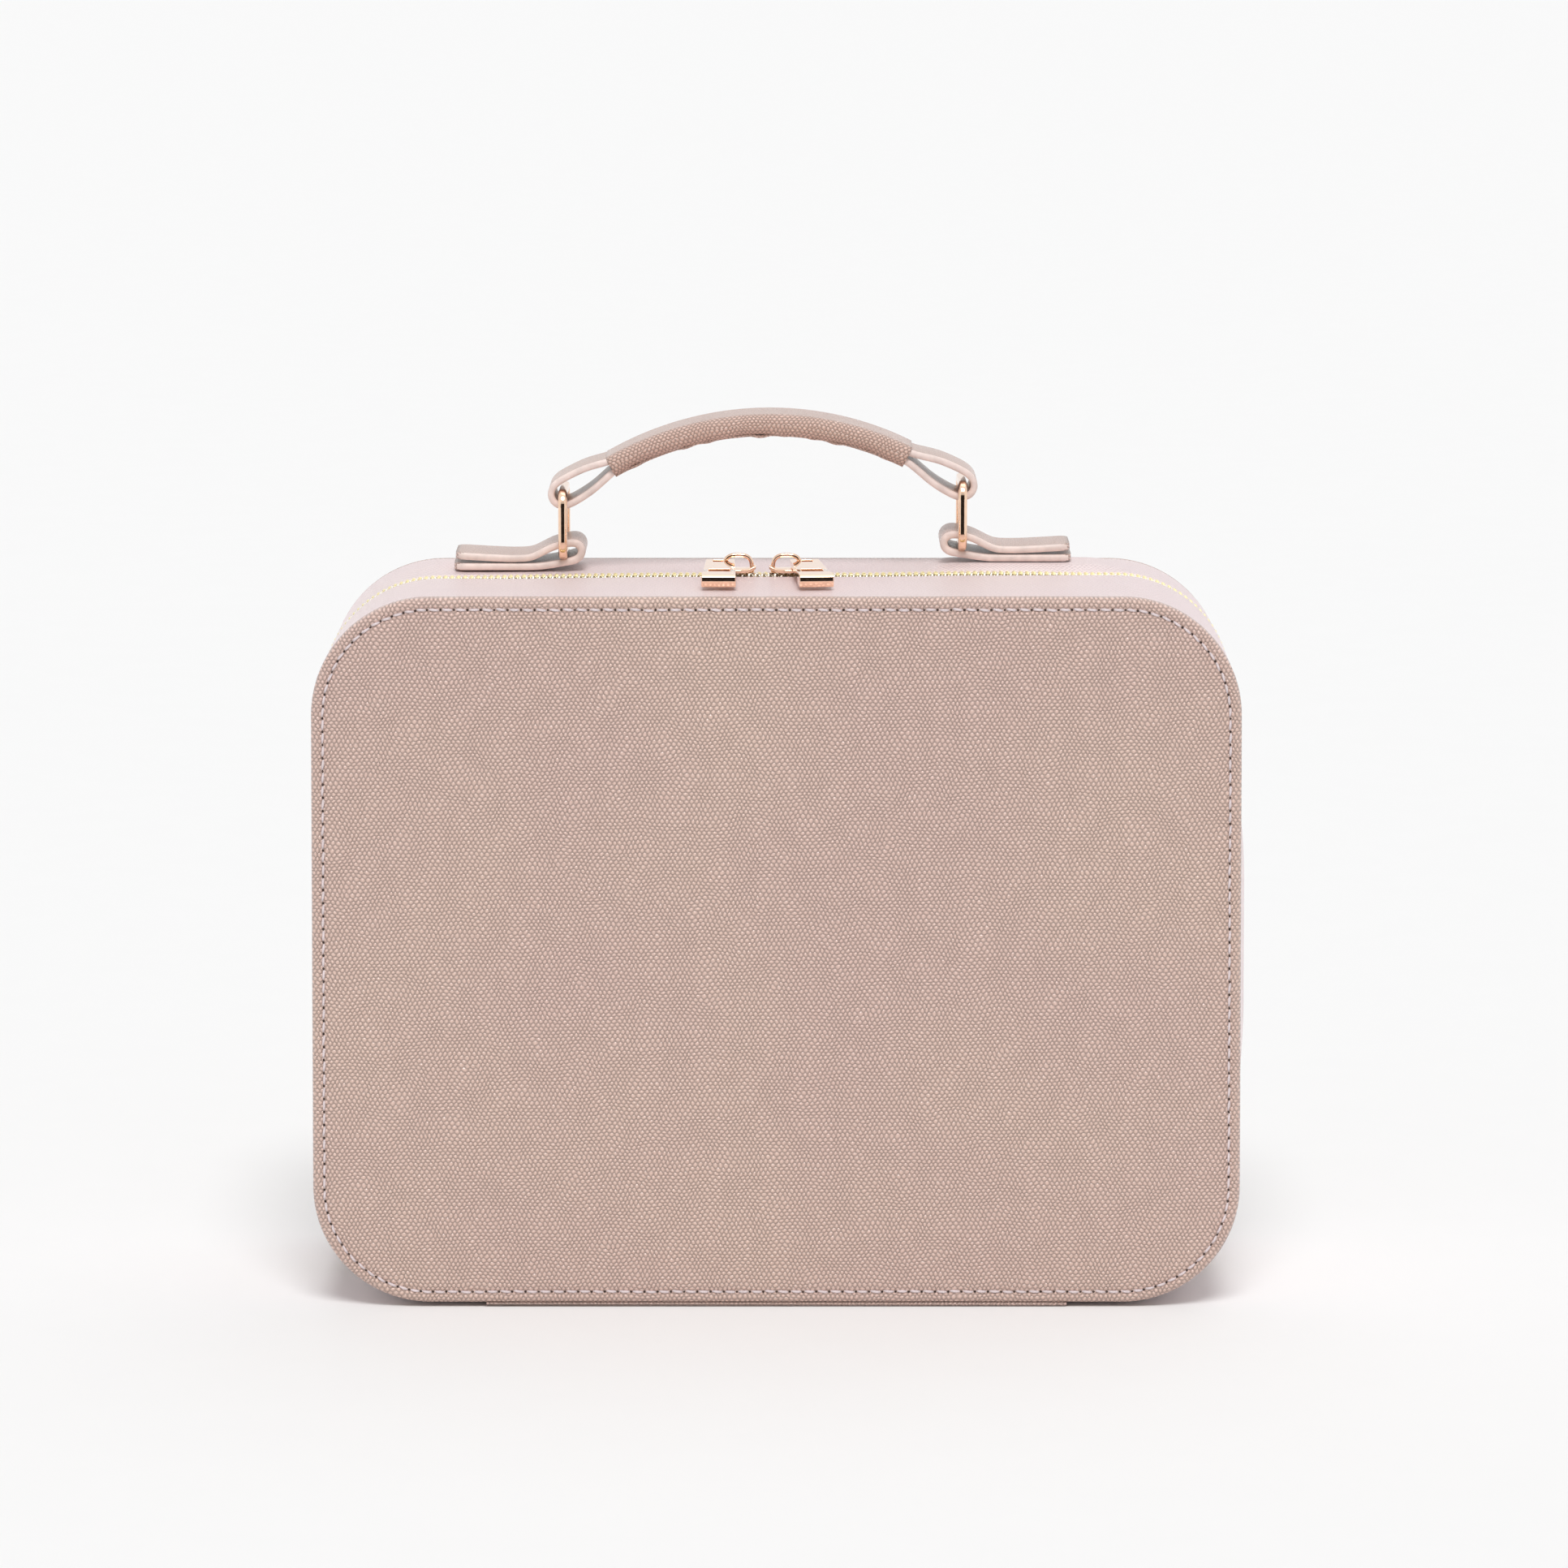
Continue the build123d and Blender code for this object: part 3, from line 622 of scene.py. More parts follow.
def tape(name, skin_y, teeth_y, body, cad_node):
    way = 1 if teeth_y > skin_y else -1
    start_y = skin_y - way * TAPE_HIDDEN
    section = [(y, TAPE_INSET) for y in (start_y, skin_y, teeth_y)]
    section += [(y, TAPE_INSET + TAPE_T) for y in (teeth_y, skin_y, start_y)]
    obj = band(name, section, s0=ZIP_START_S, s1=ZIP_END_S)
    finish_piece(obj, body, TAPE, "zip_tape", cad_node)


def coil(name, side, body, material, cad_node):
    """One row of zip teeth: a flattened coil whose heads reach just past the zip's middle."""
    turns = int((ZIP_END_S - ZIP_START_S) / PITCH)
    t = np.arange(turns * POINTS_PER_TOOTH + 1) / POINTS_PER_TOOTH
    angle = 2 * math.pi * t
    s = ZIP_START_S + PITCH * (t + (0.5 if side > 0 else 0.0) + 0.16 * np.sin(angle))
    p, n = outline_at(s)
    parted = smoothstep(-13 * MM, -8 * MM, p[:, 0]) * (1 - smoothstep(-1 * MM, 4 * MM, p[:, 0]))
    parted = parted * smoothstep(MID_Z, TOP - 5 * MM, p[:, 1]) * 1.0 * MM
    y = SPLIT_Y + side * (REACH - 0.2 * MM + parted) - side * REACH * np.cos(angle)
    inset = 0.35 * MM - 0.55 * MM * np.sin(angle) + 0.35 * narrowed(p[:, 0])
    if side < 0:
        inset = inset - 0.4 * parted
    line = place_on_outline(s, y, inset)
    obj = sweep(name, line, at_depth(n, 0), circle_section((0.40 if side < 0 else 0.50) * MM, 7))
    finish_piece(obj, body, material, "gold_zip_coil", cad_node)


tape("lid_tape", LID_EDGE_Y, SPLIT_Y - 0.8 * MM, "lid", "lid_zip_tape")
tape("case_tape", CASE_EDGE_Y, SPLIT_Y + 0.8 * MM, "case", "case_zip_tape")
coil("lid_teeth", -1, "lid", COIL_FRONT_HIGHLIGHT, "lid_zip_coil")
coil("case_teeth", 1, "case", COIL_BACK, "case_zip_coil")


# ---------------- hinge panel
PANEL_LIFT = 0.4 * MM  # the panel's underside stands this far above the floor, for its stitches


def hinge_panel():
    """One leather strip under the base, between the two halves."""
    y0, y1 = FRONT_Y + 0.9 * MM, BACK_Y - 0.9 * MM
    ys = np.linspace(y0, y1, 61)
    path = np.array([(0, y, (BASE + PANEL_LIFT) / 2) for y in ys])
    section = rounded_section(2 * HINGE_HALF, BASE - PANEL_LIFT, 0.35 * MM, 3)
    obj = sweep("hinge_panel", path, (0, 0, -1), section)
    give(obj, LEATHER)
    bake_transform(obj)
    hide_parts("hinge_panel_case_half", "hinge_panel_lid_half")
    for hand, x in (("left", -HINGE_HALF + 3 * MM), ("right", HINGE_HALF - 3 * MM)):
        for body, start, way in (("case", SPLIT_Y + 6 * MM, 1), ("lid", SPLIT_Y - 6 * MM, -1)):
            end = y1 - 3 * MM if way > 0 else y0 + 3 * MM

            def on_base(distance, x=x, start=start, way=way):
                point = np.array([x, start + way * distance, PANEL_LIFT + 0.12 * MM])
                return point, np.array([0.0, way, 0.0]), np.array([0.0, 0.0, -1.0])

            row = f"hinge_{body}_{hand}_stitches"
            stitch_row(row, on_base, 0, abs(end - start), body, thickness=0.6 * MM)


hinge_panel()

# ---------------- handle
ring_boxes = [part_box("left_ring"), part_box("right_ring")]
RING_X = [(b[0][0] + b[1][0]) / 2 for b in ring_boxes]
HANDLE_X = sum(RING_X) / 2
RING_HALF = (RING_X[1] - RING_X[0]) / 2
HANDLE_Y = (ring_boxes[0][0][1] + ring_boxes[0][1][1]) / 2
WIRE_R = (ring_boxes[0][1][0] - ring_boxes[0][0][0]) / 2
RING_LOW, RING_HIGH = ring_boxes[0][0][2] + WIRE_R, ring_boxes[0][1][2] - WIRE_R
RING_HALF_Y = (ring_boxes[0][1][1] - ring_boxes[0][0][1]) / 2 - WIRE_R
STRAP_W = float(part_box("handle_strap")[1][1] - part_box("handle_strap")[0][1])
GRIP_R = 92.5 * MM
RING_CORNER_R = 3.5 * MM
LEAN_UP, LEAN_BACK = 2 * MM, 4 * MM
ARC_Z = float(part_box("handle_grip")[1][2]) - GRIP_R
STRAP_OUT_R, STRAP_IN_R = GRIP_R - 0.9 * MM, GRIP_R - 5.1 * MM


def arc_points(radius, start, end, count, centre=(0.0, 0.0)):
    """Points (x, z) of an arc; angles are in degrees from straight up, clockwise."""
    a = np.radians(np.linspace(start, end, count))
    return np.stack([centre[0] + radius * np.sin(a), centre[1] + radius * np.cos(a)], axis=-1)


def along_handle(points):
    """(x, z) points of the handle's profile as 3-D points in its middle plane."""
    return at_depth(points + (HANDLE_X, 0), HANDLE_Y)


def resample(points, step, closed=False):
    """Evenly spaced points along a line."""
    s = lengths(points, closed)
    pts = np.vstack([points, points[:1]]) if closed else points
    at = np.linspace(0, s[-1], max(4, int(s[-1] / step)) + 1)
    if closed:
        at = at[:-1]
    return np.stack([np.interp(at, s, pts[:, k]) for k in range(pts.shape[1])], axis=-1)


def smooth_line(points, rounds, closed=False):
    """Eases the corners of an evenly spaced line."""
    for _ in range(rounds):
        middle = (np.roll(points, 1, 0) + np.roll(points, -1, 0)) / 2
        if not closed:
            middle[0], middle[-1] = points[0], points[-1]
        points = points * 0.5 + middle * 0.5
    return points


def lean(obj):
    """The handle is sewn on slightly askew: it rises and moves back towards its right end."""
    for vert in obj.data.vertices:
        t = min(max((vert.co.x - RING_X[0]) / (RING_X[1] - RING_X[0]), 0), 1)
        vert.co.z += t * LEAN_UP
        vert.co.y += t * LEAN_BACK


def strip(name, profile, width, thickness, closed, body, *nodes, bunched=1.0):
    """A flat leather strip that follows a profile in the handle's plane, with painted edges."""
    path = along_handle(profile)
    ups = np.cross(direction(path, closed), (0, 1, 0))
    section = rounded_section(width, thickness, 0.42 * thickness, 4)
    s = lengths(path)
    corner = 3.2 * MM
    tip = np.clip(1 - np.minimum(s, s[-1] - s) / corner, 0, 1)
    taper = 1 if closed else 1 - (1 - np.sqrt(1 - tip ** 2)) * 2 * corner / width
    thick = bunched * np.ones(len(path))
    obj = sweep(name, path, ups, section, closed, scale=thick, widen=taper / thick)
    finish_piece(obj, body, LEATHER_SMALL, LEATHER_SLOT, *nodes)
    obj.data.materials.append(LEATHER_EDGE)
    limit = width / 2 - 0.45 * thickness
    for poly in obj.data.polygons:
        if abs(poly.center[1] - HANDLE_Y) > limit or (not closed and len(poly.vertices) > 4):
            poly.material_index = 1
    lean(obj)


def handle_strap():
    """One strap with a teardrop loop at each end, its two strands running into the grip."""
    loop_r = 4.0 * MM
    upper = arc_points(STRAP_OUT_R - 0.9 * MM, -28, 28, 40, (0, ARC_Z))
    right = arc_points(loop_r, 12, 190, 26, (RING_HALF, RING_HIGH - 0.2 * MM))
    lower = arc_points(STRAP_IN_R + 0.9 * MM, 28, -28, 40, (0, ARC_Z))
    left = arc_points(loop_r, -190, -12, 26, (-RING_HALF, RING_HIGH - 0.2 * MM))
    bow = 0.9 * MM
    over = [(upper[-1] + right[0]) / 2 + (bow * 0.4, bow)]
    under = [(right[-1] + lower[0]) / 2 + (-bow * 0.4, -bow)]
    over_left = [(-over[0][0], over[0][1])]
    under_left = [(-under[0][0], under[0][1])]
    profile = np.vstack([upper, over, right, under, lower, under_left, left, over_left])
    profile = smooth_line(resample(profile, 0.9 * MM, True), 14, True)
    strip("strap", profile, STRAP_W, 1.95 * MM, True, "handle", "handle_strap", "handle_core")


def handle_grip():
    """The leather sleeve wrapped round the strap, with a lapped uneven edge along its underside."""
    radius = (GRIP_R + STRAP_IN_R - 0.9 * MM) / 2
    angles = np.radians(np.linspace(-28.9, 27.4, 90))
    outward = np.stack([np.sin(angles), np.cos(angles)], axis=-1)
    path, ups = along_handle(radius * outward + (0, ARC_Z)), at_depth(outward, 0)
    width, height = STRAP_W + 1.8 * MM, GRIP_R - STRAP_IN_R + 0.9 * MM
    outer = rounded_section(width, height, height * 0.46, 8)
    obj = sweep("grip", path, ups, outer)
    finish_piece(obj, "handle", LEATHER_SMALL, LEATHER_SLOT, "handle_grip")
    mesh = obj.data
    for vert in mesh.vertices:
        x, y, z = vert.co
        out = math.hypot(x - HANDLE_X, z - ARC_Z)
        lump = math.sin(x * 190) * 0.5 + math.sin(x * 410 + 1.3) * 0.35 + math.sin(x * 830 + 0.4) * 0.15
        under = float(smoothstep(radius + 0.5 * MM, radius - 2.2 * MM, out))
        push = lump * 0.32 * MM * under
        vert.co.x -= (x - HANDLE_X) / out * push
        vert.co.z -= (z - ARC_Z) / out * push
    # The lapped edge: a thin ragged strip that shows here and there along the underside
    edge = []
    for k, a in enumerate(angles):
        wave = math.sin(k * 0.31) * 0.5 + math.sin(k * 0.83 + 2) * 0.5
        r = STRAP_IN_R - (0.75 + 0.55 * max(0.0, wave) * (1 - abs(k / 44.5 - 1) ** 3)) * MM
        edge.append((HANDLE_X + r * math.sin(a), HANDLE_Y - width * 0.30, ARC_Z + r * math.cos(a)))
    lap = sweep("grip_lap", edge, ups, rounded_section(6 * MM, 0.9 * MM, 0.4 * MM, 3))
    finish_piece(lap, "handle", LEATHER_SMALL, LEATHER_SLOT)
    lean(obj)
    lean(lap)


def handle_ring(name, x):
    """A stamped wire ring with rounded corners and slightly flattened sides."""
    corner = RING_CORNER_R
    pts = []
    for cy, cz, start in ((1, 1, 0), (1, 0, 90), (-1, 0, 180), (-1, 1, 270)):
        centre = (cy * (RING_HALF_Y - corner), (RING_HIGH - corner) if cz else (RING_LOW + corner))
        pts.append(arc_points(corner, start, start + 90, 10, centre))
    loop = resample(np.vstack(pts), 0.8 * MM, True)
    path = np.stack([np.full(len(loop), x), HANDLE_Y + loop[:, 0], loop[:, 1]], axis=-1)
    section = rounded_section(2 * WIRE_R, 2 * WIRE_R, WIRE_R * 0.72, 5)
    obj = sweep(name + "_loop", path, (1, 0, 0), section, closed=True)
    lean(obj)
    finish_piece(obj, name, ROSE_GOLD, "rose_gold_metal", name)


def handle_tab(name, side):
    """A folded leather tab: the lower layer, the loop round the ring and the upper layer back."""
    low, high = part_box(name)
    outer_x = abs((high if side > 0 else low)[0] - HANDLE_X)
    loop_x = 53.9 * MM
    layer = 2.1 * MM
    loop_r = 2.75 * MM
    centre_z = TOP + 5.4 * MM
    neck_x = 59.5 * MM
    bottom = np.array([(outer_x, TOP + layer / 2), (64 * MM, TOP + layer / 2), (neck_x, TOP + layer * 0.8)])
    fold = arc_points(loop_r, 172, 352, 26, (loop_x, centre_z))
    upper = np.array([(neck_x, centre_z + loop_r * 0.55), (66 * MM, TOP + layer * 1.66),
                      (72 * MM, TOP + layer * 1.6), (outer_x - 9 * MM, TOP + layer * 1.75),
                      (outer_x - 0.4 * MM, TOP + layer * 2.0)])
    profile = smooth_line(resample(np.vstack([bottom, fold, upper]), 0.8 * MM), 7)
    bunched = 1 + 0.1 * smoothstep(58 * MM, 53 * MM, profile[:, 0])
    profile[:, 0] *= side
    strip(name + "_fold", profile, STRAP_W, layer * 0.95, False, "case", name, bunched=bunched)


handle_strap()
handle_grip()
handle_ring("left_ring", RING_X[0])
handle_ring("right_ring", RING_X[1])
handle_tab("left_handle_tab", -1)
handle_tab("right_handle_tab", 1)


# ---------------- sliders and pulls
SLIDER_HALF_W = 3.7 * MM
UNDER_TOP, UNDER_BASE = TOP - 2.5 * MM, TOP - 3.1 * MM


def slab(name, place, along, across, top, bottom, gone=(), bevel=0.25 * MM):
    """A plate cut into cells, with the cells listed in gone left open and every edge bevelled.
    place(a, c, z) gives the point; top and bottom give the heights at (a, c)."""
    n, m = len(along), len(across)
    verts = [place(a, c, face(a, c)) for face in (top, bottom) for a in along for c in across]
    kept = {(i, j) for i in range(n - 1) for j in range(m - 1)} - set(gone)
    faces = []
    for i, j in sorted(kept):
        ring = [i * m + j, (i + 1) * m + j, (i + 1) * m + j + 1, i * m + j + 1]
        faces.append(ring)
        faces.append([n * m + k for k in reversed(ring)])
        sides = (((i, j - 1), 0, 1), ((i + 1, j), 1, 2), ((i, j + 1), 2, 3), ((i - 1, j), 3, 0))
        faces += [[ring[a], ring[b], n * m + ring[b], n * m + ring[a]] for other, a, b in sides
                  if other not in kept]
    used = sorted({k for face in faces for k in face})
    index = {k: i for i, k in enumerate(used)}
    obj = add_mesh(name, [verts[k] for k in used], [[index[k] for k in face] for face in faces])
    rounded = obj.modifiers.new("bevel", "BEVEL")
    rounded.width = bevel
    rounded.segments = 3
    rounded.limit_method = "ANGLE"
    rounded.angle_limit = math.radians(24)
    rounded.harden_normals = True
    return obj


def gold(obj, body, *nodes):
    finish_piece(obj, body, ROSE_GOLD, "rose_gold_metal", *nodes)


def zip_pull(side, name, body, cad_node):
    """A framed pull: a window for the bridge, a slot, and a deep end block with a sloping front."""
    low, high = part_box(cad_node)
    middle = (low[0] + high[0]) / 2
    front, back, rise = low[1], high[1], high[2]
    width = (high[0] - low[0]) / 2
    block, slot_back, slot_front = front + 8.5 * MM, front + 17.1 * MM, front + 9.7 * MM
    turn = math.radians(5) if side > 0 else math.radians(-0.3)

    def place(a, c, z):
        half = width * (1 - 0.15 * (a - front) / (back - front))
        x, y = c * half, a - back
        return (middle + x * math.cos(turn) - y * math.sin(turn),
                back + x * math.sin(turn) + y * math.cos(turn), z)

    def top(a, c):
        return rise - (0.5 * MM if a < front + 0.1 * MM else 0) - (0.3 * MM if a > block else 0)

    def bottom(a, c):
        return rise - (1.9 * MM if a < front + 0.1 * MM else 3.5 * MM if a < block else 2.1 * MM)

    along = [front, front + 0.75 * MM, block - 0.6 * MM, block, slot_front, slot_back, back - 5.9 * MM,
             back - 1.3 * MM, back]
    across = [-1, -0.66, -0.5, 0.5, 0.66, 1]
    gone = [(4, 1), (4, 2), (4, 3), (6, 2)]
    gold(slab(name, place, along, across, top, bottom, gone), body, cad_node)


def zip_slider(side, name, body, slider_node, bridge_node):
    """A slider: a shaped upper plate with a raised nose, an under plate, a post and a round-wire bridge."""
    low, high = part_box(slider_node)
    inner, outer = (low[0], high[0]) if side > 0 else (high[0], low[0])
    length = abs(outer - inner)
    middle_y = (low[1] + high[1]) / 2
    plate_top = TOP + 2.1 * MM

    def place(a, c, z):
        t = (a - inner) / (outer - inner)
        widening = 0.5 + 0.5 * float(smoothstep(-0.05, 0.45, t))
        narrowing = 1 - 0.3 * float(smoothstep(0.8, 1, t))
        return (a, middle_y + c * SLIDER_HALF_W * widening * narrowing, z)

    def nose(a, c):
        t = (a - inner) / (outer - inner)
        return 0.9 * MM * float(smoothstep(0.22, 0.0, t)) - 0.25 * MM * abs(c) ** 3

    along = np.linspace(inner, outer, 13)
    across = np.linspace(-1, 1, 9)
    plate = slab(name, place, along, across, lambda a, c: plate_top + nose(a, c),
                 lambda a, c: plate_top - 0.95 * MM + nose(a, c), bevel=0.22 * MM)
    gold(plate, body, slider_node, bridge_node)
    under = slab(name + "_under", place, along, across[1:-1], lambda a, c: UNDER_TOP,
                 lambda a, c: UNDER_BASE, bevel=0.15 * MM)
    gold(under, body)
    post_x = inner + (outer - inner) * 0.14
    post_line = [(post_x, middle_y, z) for z in np.linspace(TOP - 2.7 * MM, TOP + 1.6 * MM, 4)]
    post = rounded_section(2.0 * MM, 0.6 * MM, 0.25 * MM, 3)
    gold(sweep(name + "_post", post_line, (0, 1, 0), post), body)
    b_low, b_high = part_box(bridge_node)
    left, right, peak = b_low[0] + 0.6 * MM, b_high[0] - 0.6 * MM, b_high[2] - 0.55 * MM
    centre, span = (left + right) / 2, (right - left) / 2
    arch = []
    for a in np.radians(np.linspace(-90, 90, 31)):
        x = math.copysign(abs(math.sin(a)) ** 0.72, a) * span
        arch.append((centre + x, middle_y, plate_top + (peak - plate_top) * math.cos(a) ** 0.62))
    arch = [(left, middle_y, plate_top - 0.6 * MM)] + arch + [(right, middle_y, plate_top - 0.6 * MM)]
    path = smooth_line(resample(np.array(arch), 0.4 * MM), 3)
    wire = rounded_section(1.15 * MM, 1.7 * MM, 0.5 * MM, 5)
    gold(sweep(name + "_bridge", path, (0, 1, 0), wire), body)


for side, hand in ((-1, "left"), (1, "right")):
    zip_slider(side, f"{hand}_slider", f"{hand}_slider", f"{hand}_slider_body", f"{hand}_slider_bridge")
    zip_pull(side, f"{hand}_pull", f"{hand}_pull", f"{hand}_pull_tab")


# ---------------- inside
EDGE_TURN = 2.2 * MM  # over which a pad's cloth turns in to its edge


def pillow(cad_node, body, thin, seam=0.35):
    """A thin padded board in its CAD box: crowned cloth on both faces, drawn in along a bound edge.
    thin is the axis across the board."""
    low, high = (np.array(v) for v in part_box(cad_node))
    middle, half = (low + high) / 2, (high - low) / 2
    wide = [k for k in (0, 1, 2) if k != thin]
    counts = [max(12, int(2 * half[k] / (3 * MM))) for k in wide]
    u, v = (np.linspace(-1, 1, c + 1) for c in counts)
    # Closer lines near the edges, where the cloth turns in
    u, v = (np.sign(t) * (1 - (1 - np.abs(t)) ** 1.35) for t in (u, v))
    uu, vv = np.meshgrid(u, v, indexing="ij")
    margins = [np.minimum((1 - np.abs(t)) * half[k] / EDGE_TURN, 1) for t, k in zip((uu, vv), wide)]
    edge = np.minimum(*margins)
    puff = seam + (1 - seam) * np.sqrt(1 - (1 - edge) ** 2)
    gather = np.sin(uu * half[wide[0]] / (2.3 * MM)) * np.sin(vv * half[wide[1]] / (2.9 * MM) + 1)
    puff = puff * (0.93 + 0.04 * gather * (1 - edge) + 0.03 * np.sin(uu * 5 + 1) * np.cos(vv * 4))
    parts = []
    for way in (1, -1):
        grid = np.zeros(uu.shape + (3,))
        grid[..., wide[0]] = middle[wide[0]] + uu * half[wide[0]] * 0.995
        grid[..., wide[1]] = middle[wide[1]] + vv * half[wide[1]] * 0.995
        grid[..., thin] = middle[thin] + way * half[thin] * puff
        parts.append(grid_parts(grid, u * half[wide[0]], v * half[wide[1]]))
    obj = join(cad_node + "_pad", parts)
    bm = bmesh.new()
    bm.from_mesh(obj.data)
    rims = [e for e in bm.edges if e.is_boundary]
    bmesh.ops.bridge_loops(bm, edges=rims)
    bmesh.ops.recalc_face_normals(bm, faces=bm.faces)
    bm.to_mesh(obj.data)
    bm.free()
    obj.data.polygons.foreach_set("use_smooth", [True] * len(obj.data.polygons))
    finish_piece(obj, body, PAD_CLOTH, "padded_divider_fabric", cad_node)


def lining_sheet(name, cad_node, body):
    """The flat lining of a panel, stretched over its board with a few faint ripples."""
    low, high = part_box(cad_node)
    plane = (low[1] + high[1]) / 2
    inset = HALF_W - (high[0] - low[0]) / 2
    p, n = outline_at(np.linspace(0, OUT_LENGTH, 241)[:-1])
    rim = p - n * inset
    rings = []
    for t in np.linspace(1, 0.02, 26):
        q = rim * t + np.array([0, MID_Z]) * (1 - t)
        ripple = 0.12 * MM * np.sin(q[:, 0] / (9 * MM) + 2 * np.sin(q[:, 1] / (40 * MM))) * (1 - t ** 6)
        rings.append(at_depth(q, plane + ripple))
    verts, faces = fan(rings, (0, plane, MID_Z))
    obj = add_mesh(name, verts, faces, [(verts[i][0], verts[i][2]) for face in faces for i in face])
    thicken(obj, 0.5 * MM, 0)
    finish_piece(obj, body, LINING, "blush_lining", cad_node)


def lining_wall(name, cad_node, body):
    """The strip of lining round the inside of a gusset, slightly slack between its seams."""
    low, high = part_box(cad_node)
    inset = float(HALF_W - (high[0] - low[0]) / 2)
    y0, y1 = float(low[1]), float(high[1])
    ys = np.linspace(y0, y1, 13)
    slack = 0.25 * MM * np.sin(np.linspace(0, math.pi, 13))
    section = [(y, inset + 0.05 * MM + w) for y, w in zip(ys, slack)]
    section += [(y, inset + 0.55 * MM + w) for y, w in zip(ys[::-1], slack[::-1])]
    obj = band(name, section)
    finish_piece(obj, body, LINING, "blush_lining", cad_node)


def binding(name, cad_node, body):
    """A folded tape sewn over the raw edge of the lining beside the zip."""
    low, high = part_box(cad_node)
    inset = float(HALF_W - (high[0] - low[0]) / 2)
    y0, y1 = float(low[1]), float(high[1])
    section = rounded_section(y1 - y0, 1.1 * MM, 0.5 * MM, 4) + ((y0 + y1) / 2, inset + 0.3 * MM)
    obj = band(name, section)
    finish_piece(obj, body, TAPE, "blush_lining", cad_node)
    on_tape = seam_round(inset + 0.85 * MM, (y0 + y1) / 2, lambda n: (-n[0], 0, -n[1]))
    stitch_row(name + "_stitches", on_tape, 0, OUT_LENGTH, body, 4.2 * MM, 0.5 * MM, closed=True)


def brush_band(name, cad_node, loops):
    """An elastic band sewn down at even steps so that it stands up in brush loops between them."""
    low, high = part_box(cad_node)
    middle_z, width = (low[2] + high[2]) / 2, high[2] - low[2]
    x = np.linspace(low[0], high[0], loops * 16 + 1)
    phase = (x - low[0]) / (high[0] - low[0]) * loops
    loop = np.abs(np.sin(math.pi * phase)) ** 0.75
    path = np.stack([x, low[1] + 0.5 * MM + loop * 3.6 * MM, np.full(len(x), middle_z)], axis=-1)
    # sweep's across runs along Z here
    obj = sweep(name, path, (0, 1, 0), rounded_section(float(width), 0.9 * MM, 0.4 * MM, 3))
    finish_piece(obj, "lid", ELASTIC, "elastic_webbing", cad_node)


def brush_pocket():
    """A pocket of lining cloth, gathered by the elastic in its top hem."""
    low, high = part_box("brush_pocket")
    u, v = np.linspace(-1, 1, 120), np.linspace(0, 1, 24)
    uu, vv = np.meshgrid(u, v, indexing="ij")
    x = (low[0] + high[0]) / 2 + uu * (high[0] - low[0]) / 2
    belly = vv ** 0.7 * (1 - np.abs(uu) ** 10) * 3.2 * MM
    folds = np.sin(x / (1.7 * MM) + 0.6 * np.sin(x / (9 * MM)))
    gathers = 0.5 * MM * folds * vv ** 2 * (1 - np.abs(uu) ** 12)
    y = low[1] + 0.4 * MM + belly + gathers
    z = low[2] + vv * (high[2] - low[2] - 3 * MM) - 0.7 * MM * vv * (1 - uu ** 2) * 2
    grid = np.stack([x, y, z], axis=-1)
    obj = add_mesh("pocket", *grid_parts(grid, x[:, 0], z[0]))
    thicken(obj, 0.6 * MM, 0)
    finish_piece(obj, "lid", LINING, "blush_lining", "brush_pocket")
    hem_path = grid[:, -1] + (0, 0, 1.2 * MM)
    elastic = rounded_section(5 * MM, 1.5 * MM, 0.7 * MM, 4)
    hem = sweep("pocket_hem", hem_path, (0, 1, 0), elastic)
    finish_piece(hem, "lid", ELASTIC, "blush_lining")


pillow("long_divider", "case", 2)
for number in range(1, 6):
    pillow(f"short_divider_{number}", "case", 0)
pillow("brush_board", "lid", 1, seam=0.5)
for body, face in (("lid", "front"), ("case", "back")):
    lining_sheet(body + "_lining", f"{body}_lining_{face}", body)
for body in ("lid", "case"):
    lining_wall(body + "_wall", body + "_lining_wall", body)
for body in ("lid", "case"):
    binding(body + "_bound_edge", body + "_binding", body)
for row in ("upper", "lower"):
    brush_band(row + "_brush_loops", row + "_brush_band", 8)
brush_pocket()

# ---------------- finishes of the CAD nodes that stay
CAD_FINISH = {"rose_gold_metal": ROSE_GOLD, "grey_board": BOARD, "padding": FOAM, "dark_plastic": PLASTIC,
              "blush_lining": LINING, "padded_divider_fabric": PAD_CLOTH, "elastic_webbing": ELASTIC,
              "zip_tape": TAPE, "gold_zip_coil": COIL_BACK, LEATHER_SLOT: LEATHER_EDGE}
slots = {part["node"]: part["material_slot"] for part in frame["record"]["subparts"]}
for name, obj in frame["nodes"].items():
    # The anchor board is wrapped in the lining's cloth, because its face shows inside the case
    finish = LINING if name == "handle_anchor_board" else CAD_FINISH[slots[name]]
    for slot in obj.material_slots:
        slot.link = "OBJECT"
        slot.material = finish


# ---------------- studio
WORLD_LIGHT = 0.45
BACK_LIGHT = 0.38
KEY_LIGHT = 1.75
BACKDROP = 0.94


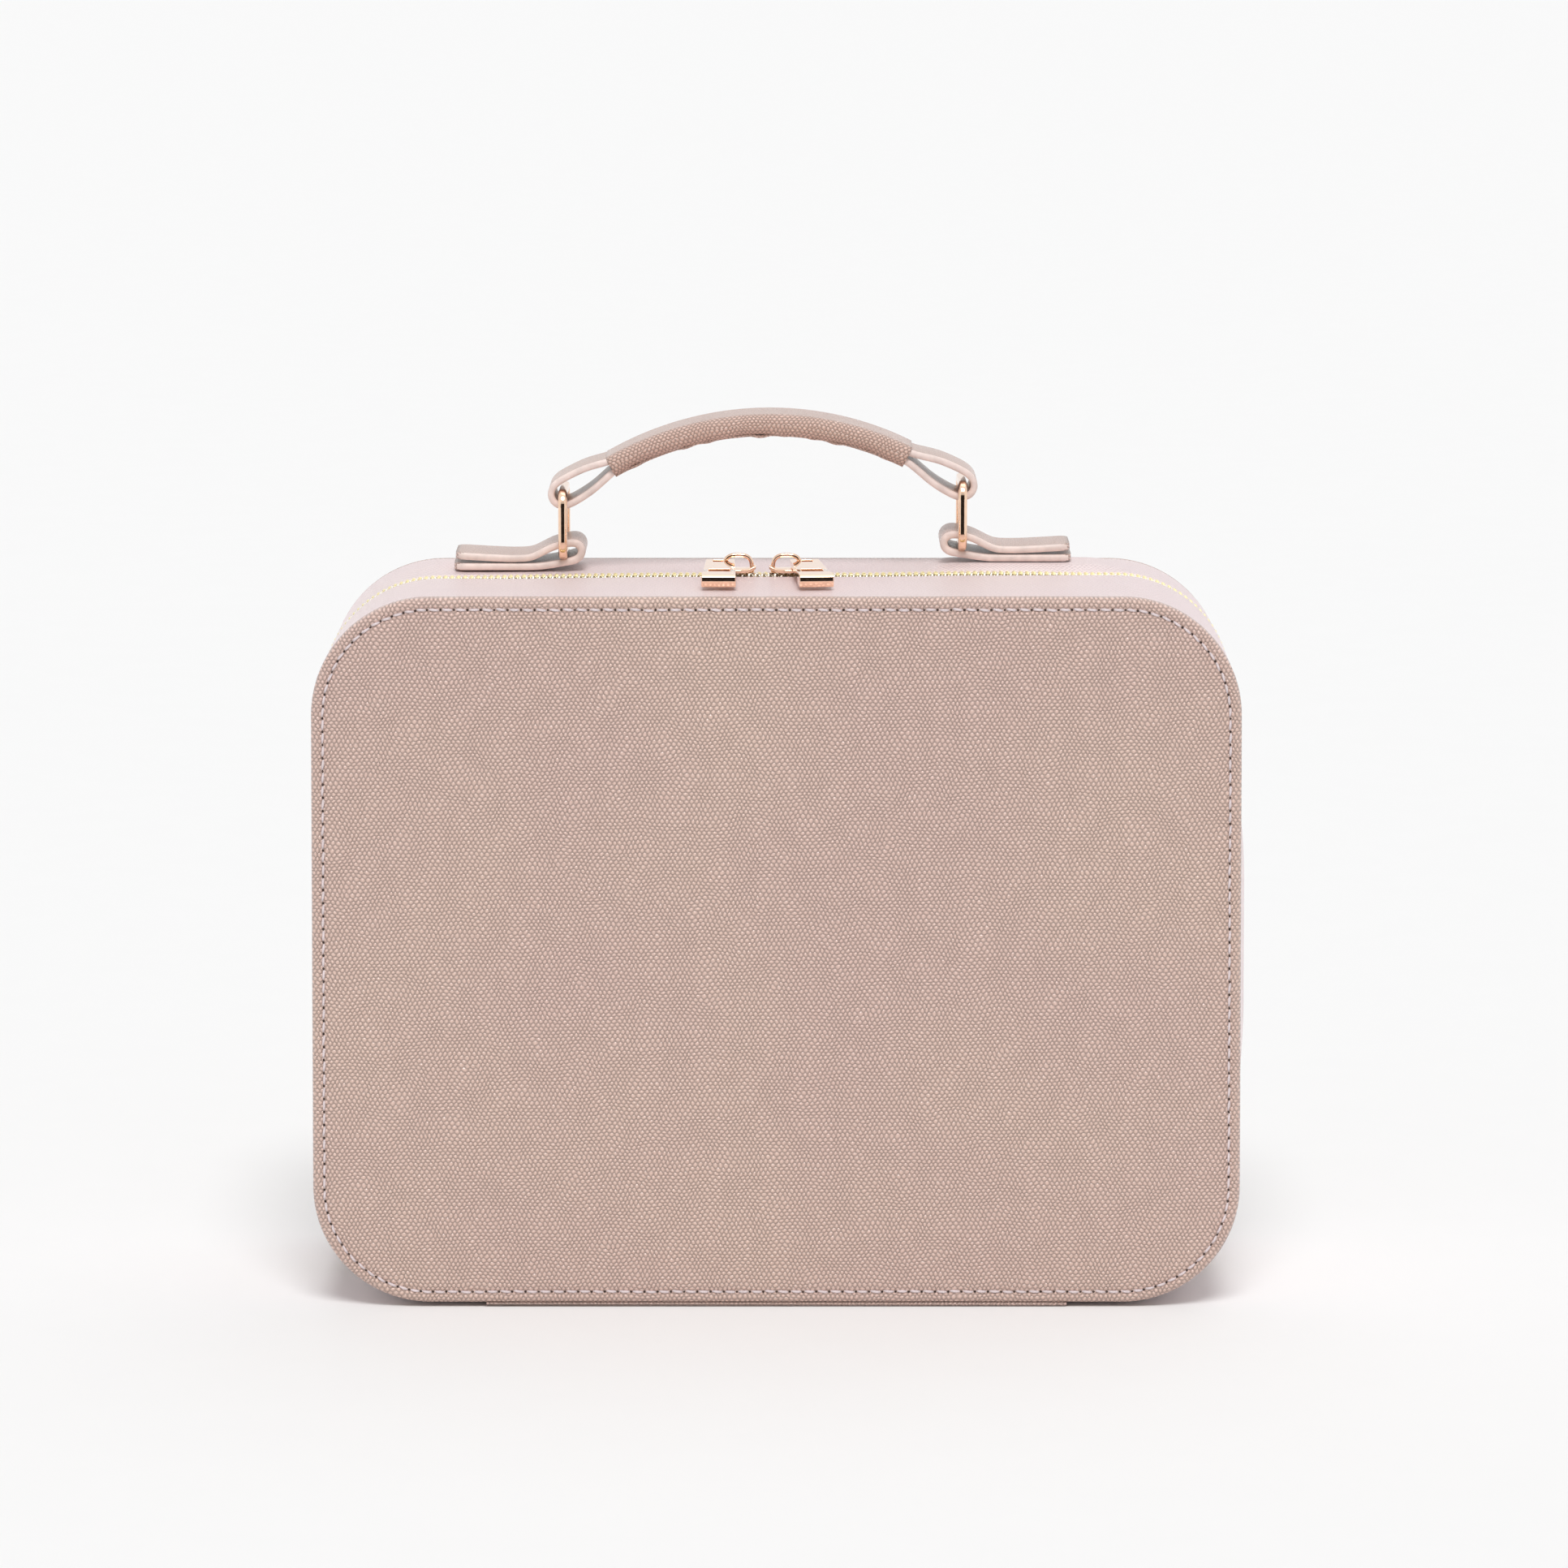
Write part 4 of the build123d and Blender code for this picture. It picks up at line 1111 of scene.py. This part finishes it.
def studio_light():
    """White surroundings, with a darker cone in front for the polished metal to mirror."""
    world = bpy.data.worlds.new("studio")
    bpy.context.scene.world = world
    world.use_nodes = True
    tree = world.node_tree
    toward = node(tree, "SeparateXYZ", node(tree, "TexCoord").outputs["Generated"]).outputs["Y"]
    cone = node(tree, "MapRange", toward, -0.93, -0.72, 0.55, 1.0, interpolation_type="SMOOTHSTEP")
    # The surroundings look as pale as the lit floor, and light the case less than that
    diffuse = node(tree, "LightPath").outputs["Is Diffuse Ray"]
    strength = node(tree, "MapRange", diffuse, 0.0, 1.0, BACKDROP, WORLD_LIGHT)
    feed(tree.nodes["Background"], Color=cone.outputs[0], Strength=strength.outputs[0])
    # The unlit front of the room, seen only in mirror-like surfaces
    corners = [(x, -1.0, z) for x, z in ((-0.42, 0), (0.42, 0), (0.42, 0.62), (-0.42, 0.62))]
    dark = add_mesh("dark_room", corners, [[0, 1, 2, 3]], smooth=False)
    give(dark, mottled("dark_room", (0.012, 0.009, 0.008), 1.0))
    for ray in ("camera", "diffuse", "transmission", "volume_scatter", "shadow"):
        setattr(dark, "visible_" + ray, False)
    for name, turn, energy, width in (("back", (math.radians(-22), math.radians(10), 0), BACK_LIGHT, 50),
                                      ("key", (math.radians(30), 0, math.radians(3)), KEY_LIGHT, 24)):
        light = bpy.data.lights.new(name, "SUN")
        light.energy = energy
        light.angle = math.radians(width)
        lamp = bpy.data.objects.new(name, light)
        lamp.rotation_euler = turn
        bpy.context.scene.collection.objects.link(lamp)


def studio():
    floor = add_mesh("floor", [(-30, -20, 0), (30, -20, 0), (30, 60, 0), (-30, 60, 0)], [[0, 1, 2, 3]],
                     [(0, 0), (1, 0), (1, 1), (0, 1)], smooth=False)
    mat, tree, shader, where = new_material("studio_floor")
    cloud = node(tree, "TexNoise", Scale=40.0, Vector=where["Object"]).outputs["Fac"]
    feed(shader, Base_Color=ramp(cloud, [(0.0, grey(0.905)), (1.0, grey(0.915))]), Roughness=1.0,
         Specular_IOR_Level=0.0)
    give(floor, mat)
    studio_light()
    camera_data = bpy.data.cameras.new("camera")
    camera_data.sensor_width = 36
    camera_data.lens = 150.6
    camera_data.clip_end = 200
    camera = bpy.data.objects.new("camera", camera_data)
    camera.location = (2.1 * MM, FRONT_Y - 1.793, TOP + 0.2398)
    camera.rotation_euler = (math.radians(90 - 9.24), 0, 0)
    bpy.context.scene.collection.objects.link(camera)
    bpy.context.scene.camera = camera
    bpy.context.scene.view_settings.view_transform = "Standard"


studio()
